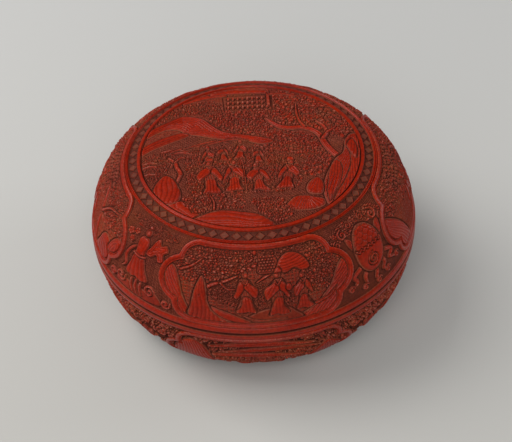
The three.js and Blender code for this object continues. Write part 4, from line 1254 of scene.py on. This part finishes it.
def turned(name, outline, segments=192, inset=0, attributes=None):
    """A piece turned about the Z axis from an outline in mm, each point a radius and a height. An outline
    that starts and ends near the axis is closed there by two small faces. Inset moves points inward."""
    outline = np.array(outline, float)
    angle = 2 * np.pi * np.arange(segments) / segments
    open_ends = outline[0, 0] < 3
    points = ring_points(outline[:, :1] - inset + 0 * angle, outline[:, 1:] + 0 * angle, angle[None])
    count = len(outline)
    quads = grid_faces(count, segments, close_rows=not open_ends, close_columns=True)
    caps = []
    if open_ends:
        caps = [np.arange(segments)[::-1], (count - 1) * segments + np.arange(segments)]
    piece = mesh_object(name, points.reshape(-1, 3), quads, caps, attributes)
    way = np.diff(np.vstack([outline[-1], outline, outline[0]]), axis=0)
    way = way / np.maximum(np.hypot(*way.T), 1e-9)[:, None]
    corner = np.degrees(np.arccos(np.clip((way[:-1] * way[1:]).sum(axis=1), -1, 1))) > sharp_corner
    ends = np.zeros(len(piece.data.edges) * 2, np.int32)
    piece.data.edges.foreach_get("vertices", ends)
    row = ends.reshape(-1, 2) // segments
    edge = piece.data.attributes.new("sharp_edge", "BOOLEAN", "EDGE")
    edge.data.foreach_set("value", (row[:, 0] == row[:, 1]) & corner[row[:, 0]])
    return piece


bevel = 0.4  # the rows of the foot's outer face are as far apart
foot_face = np.arange(bevel, foot_top, bevel)
foot_outline = [(foot_inside + bevel, 0), (foot_radius - bevel, 0)]
foot_outline += [(foot_radius, z) for z in foot_face]
foot_outline += [(foot_radius - foot_coat, foot_top), (foot_radius - foot_coat, foot_coat)]
foot_outline += [(foot_inside + foot_coat, foot_coat), (foot_inside + foot_coat, foot_top)]
foot_outline += [(foot_inside, foot_top), (foot_inside, bevel)]
azimuth = 2 * np.pi * np.arange(foot_segments) / foot_segments
fret_z, fret_azimuth = np.meshgrid(foot_face, azimuth, indexing="ij")
fret_relief = foot_frets.read(foot_frets.height, fret_azimuth * foot_radius % foot_length, fret_z)
plain_edge = (fret_z < fret_border * 0.8) | (fret_z > fret_border * 1.2 + fret_height)
fret_relief = np.where(plain_edge, 1.0, fret_relief)
foot_relief = np.ones((len(foot_outline), foot_segments))
foot_relief[2:2 + len(foot_face)] = fret_relief
# the hollow here is made from the height, so that the material paints shade into the fret cuts
foot_hollow = np.clip(foot_relief - 0.8, -0.3, 0.1)
foot_marks = {"relief": foot_relief, "hollow": foot_hollow}
foot = turned("foot_red_coat", foot_outline, foot_segments, fret_depth * (1 - foot_relief), foot_marks)
finished(foot, red_lacquer, "base", "base_foot_lacquer")


# The black lacquer inside: a thin coat over the wood in both halves, brushed on and rubbed smooth. With
# age it has fine cracks here and there.
lining_outer = 10.3
lining_inner = 11.3
axis_gap = 1.5


def black_coat_nodes(sheet, given):
    """Black lacquer, cloudy and faintly brushed, with a net of fine cracks here and there."""
    place = sheet.place()
    warp = sheet.add("TexNoise", {"Vector": place, "Scale": 18.0, "Detail": 2.0}).outputs["Color"]
    bent = sheet.add("MixRGB", {"Fac": 0.04, "Color1": place, "Color2": warp}).outputs["Color"]
    cells = sheet.add("TexVoronoi", {"Vector": bent, "Scale": 46.0}, feature="DISTANCE_TO_EDGE")
    crack = sheet.ramp(cells.outputs["Distance"], [(0.0, 1.0), (0.018, 0.0)])
    where = sheet.ramp(sheet.noise(9, 2, 0.5, place), [(0.5, 0.0), (0.62, 1.0)])
    crack = sheet.times(sheet.times(crack, where), given["Cracks"])
    cloudy = sheet.noise(26, 4, 0.6, place)
    brushed = sheet.noise(260, 3, 0.6, place)
    clouds = sheet.ramp(cloudy, [(0.35, 0.0), (0.7, 1.0)])
    colour = sheet.mix(clouds, (0.011, 0.008, 0.007), (0.026, 0.015, 0.011))
    colour = sheet.over(colour, crack, 0.7, (0.07, 0.05, 0.04))
    rough = sheet.ramp(cloudy, [(0.3, 0.2), (0.75, 0.36)])
    rough = sheet.math("ADD", rough, sheet.times(crack, 0.3))
    height = sheet.math("SUBTRACT", sheet.times(brushed, 0.6), crack)
    return {"Base Color": colour, "Roughness": rough, "Normal": sheet.bump(height, 0.35, 0.0002)}


black_coat = shared_group(
    "black coat",
    black_coat_nodes,
    {"Cracks": 1.0},
    {"Base Color": "Color", "Roughness": "Float", "Normal": "Vector"},
)
black_lacquer = material(
    "black lacquer", lambda sheet: sheet.group(black_coat), Coat_Weight=0.25, Coat_Roughness=0.12
)


def layer(wall, outer, inner, start, end):
    """The outline of a thin layer of the wall between two runs, at these depths."""
    runs = start + (end - start) * np.linspace(0, 1, 90)
    front, back = np.stack(wall.at(runs, outer), 1), np.stack(wall.at(runs, inner), 1)
    return np.vstack([front, back[::-1]])


lip_depth = 14
lip_height = 9
bond_gap = 0.3
base_depths = np.interp(base_joint - lip_depth - bond_gap, base_wall.z, base_wall.run)
lid_lining = turned("lid_lining", layer(lid_wall, lining_inner, lining_outer, axis_gap, lid_wall.length))
base_lining = turned("base_lining", layer(base_wall, lining_outer, lining_inner, axis_gap, base_depths))
finished(lid_lining, black_lacquer, "lid", "lid_inner_lacquer")
finished(base_lining, black_lacquer, "base", "base_inner_lacquer")


# The lip: a hoop of thin wood in black lacquer, glued inside the wall of the base. It stands up past the
# joint, and the lid slides down over it. Its rounded top is worn where the lid rubs it.
lip_wall = 3.2
lip_clearance = 0.5
lip_round = 1.0
inside_run = np.interp(lid_joint + lip_height, lid_wall.z[::-1], lid_wall.run[::-1])
lip_outer = lid_wall.at(inside_run, lining_inner)[0] - lip_clearance
lip_inner = lip_outer - lip_wall
lip_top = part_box("base_mouth_lip")[1].z / mm
lip_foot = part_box("base_mouth_lip")[0].z / mm
quarter_round = np.radians(np.linspace(0, 90, 5))
lip_outline = [(lip_inner, lip_foot)]
seated = np.linspace(np.interp(lip_foot, base_wall.z, base_wall.run), base_wall.length, 12)
lip_outline += list(zip(*base_wall.at(seated, lining_outer)))
lip_outline += [(lip_outer, base_joint)]
for a in quarter_round:
    lip_outline.append((lip_outer - lip_round * (1 - math.cos(a)), lip_top - lip_round * (1 - math.sin(a))))
for a in quarter_round:
    lip_outline.append((lip_inner + lip_round * (1 - math.sin(a)), lip_top - lip_round * (1 - math.cos(a))))
lip = turned("lip_hoop", lip_outline)


def rubbed_lacquer_nodes(sheet):
    """The black coat, worn through to brown along the top of the lip."""
    made = sheet.group(black_coat, {"Cracks": 0.3})
    near_top = sheet.span(sheet.axis("Z"), (lip_top - 3) * mm, lip_top * mm)
    chips = sheet.noise(140, 4, 0.65, sheet.place())
    worn = sheet.ramp(sheet.times(chips, near_top), [(0.44, 0.0), (0.56, 1.0)])
    made["Base Color"] = sheet.mix(worn, made["Base Color"], (0.11, 0.045, 0.024))
    made["Roughness"] = sheet.math("ADD", made["Roughness"], sheet.times(worn, 0.3))
    return made


rubbed_lacquer = material("rubbed black lacquer", rubbed_lacquer_nodes, Coat_Weight=0.2, Coat_Roughness=0.15)
finished(lip, rubbed_lacquer, "base", "base_mouth_lip")


# The black lacquer under the base: a coat brushed over the planks inside the foot ring, scuffed dull by
# years of handling.
underside_outer = 4.1
underside_inner = 5.1
underside_end = base_wall.run_at_radius(foot_inside + foot_coat) - 0.2
underside_outline = layer(base_wall, underside_outer, underside_inner, axis_gap, underside_end)
underside = turned("underside_coat", underside_outline)


def scuffed_lacquer_nodes(sheet):
    """The black coat, with dull grey scuffs."""
    made = sheet.group(black_coat, {"Cracks": 0.6})
    scuffs = sheet.ramp(sheet.noise(55, 5, 0.7, sheet.place()), [(0.46, 0.0), (0.68, 1.0)])
    made["Base Color"] = sheet.over(made["Base Color"], scuffs, 0.6, (0.06, 0.045, 0.036))
    made["Roughness"] = sheet.math("ADD", made["Roughness"], sheet.times(scuffs, 0.3))
    return made


scuffed_lacquer = material("scuffed black lacquer", scuffed_lacquer_nodes, Coat_Weight=0.05)
finished(underside, scuffed_lacquer, "base", "base_underside_lacquer")


# The cloth ground: hemp cloth laid over the wood in lacquer and levelled with ash, under the red coat of
# each half. Its weave still prints through the ash.
def cloth_nodes(sheet):
    """A plain weave under brown-grey ash."""
    threads = 1400
    warp, weft = (sheet.math("SINE", sheet.times(sheet.axis(letter), threads)) for letter in "XY")
    weave = sheet.times(warp, weft)
    ash = sheet.noise(60, 4, 0.6, sheet.place())
    colour = sheet.mix(ash, (0.07, 0.055, 0.042), (0.16, 0.13, 0.1))
    colour = sheet.mix(sheet.ramp(weave, [(0.2, 0.0), (0.9, 0.35)]), colour, (0.22, 0.18, 0.13))
    return {"Base Color": colour, "Normal": sheet.bump(weave, 0.6, 0.0003)}


def kept(nodes, finish):
    """Gives solids of the frame, which are seen as they are, their finish."""
    for node in nodes:
        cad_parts[node].data.materials.clear()
        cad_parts[node].data.materials.append(finish)


cloth_ground = material("hemp cloth in ash", cloth_nodes, Roughness=0.92)
kept(("lid_cloth_ground", "base_cloth_ground"), cloth_ground)


# The wood core: three planks glued side by side and dished for each half, thin hoops bent round and
# glued in a stack for its wall, and one hoop for the foot. It is a light, straight-grained softwood.
def wood_grain_nodes(sheet, given):
    """Straight grain: long streaks, drawn out along one direction."""
    scale = sheet.add("CombineXYZ", {"X": given["Across"], "Y": given["Along"], "Z": given["Across"]})
    stretch = sheet.add("Mapping", {"Vector": sheet.place(), "Scale": scale.outputs[0]}).outputs["Vector"]
    streak = sheet.noise(60, 6, 0.65, stretch, 0.4)
    pores = sheet.noise(520, 3, 0.7, stretch)
    browns = [(0.3, (0.36, 0.23, 0.12)), (0.5, (0.47, 0.32, 0.18)), (0.72, (0.30, 0.18, 0.09))]
    colour = sheet.ramp(streak, browns)
    colour = sheet.mix(sheet.ramp(pores, [(0.35, 0.4), (0.5, 0.0)]), colour, (0.16, 0.09, 0.045))
    return {"Base Color": colour, "Normal": sheet.bump(streak, 0.3, 0.0002)}


wood_grain = shared_group(
    "wood grain",
    wood_grain_nodes,
    {"Along": 0.06, "Across": 1.0},
    {"Base Color": "Color", "Normal": "Vector"},
)
plank_wood = material("plank wood", lambda sheet: sheet.group(wood_grain), Roughness=0.7)
hoop_wood = material(
    "bent hoop wood", lambda sheet: sheet.group(wood_grain, {"Along": 0.3, "Across": 0.3}), Roughness=0.72
)
planks = [f"{half}_plank_{side}" for half in ("lid", "base") for side in ("left", "middle", "right")]
hoops = [f"lid_hoop_{k}" for k in (1, 2, 3, 4)] + [f"base_hoop_{k}" for k in (1, 2, 3)] + ["base_foot_hoop"]
kept(planks, plank_wood)
kept(hoops, hoop_wood)
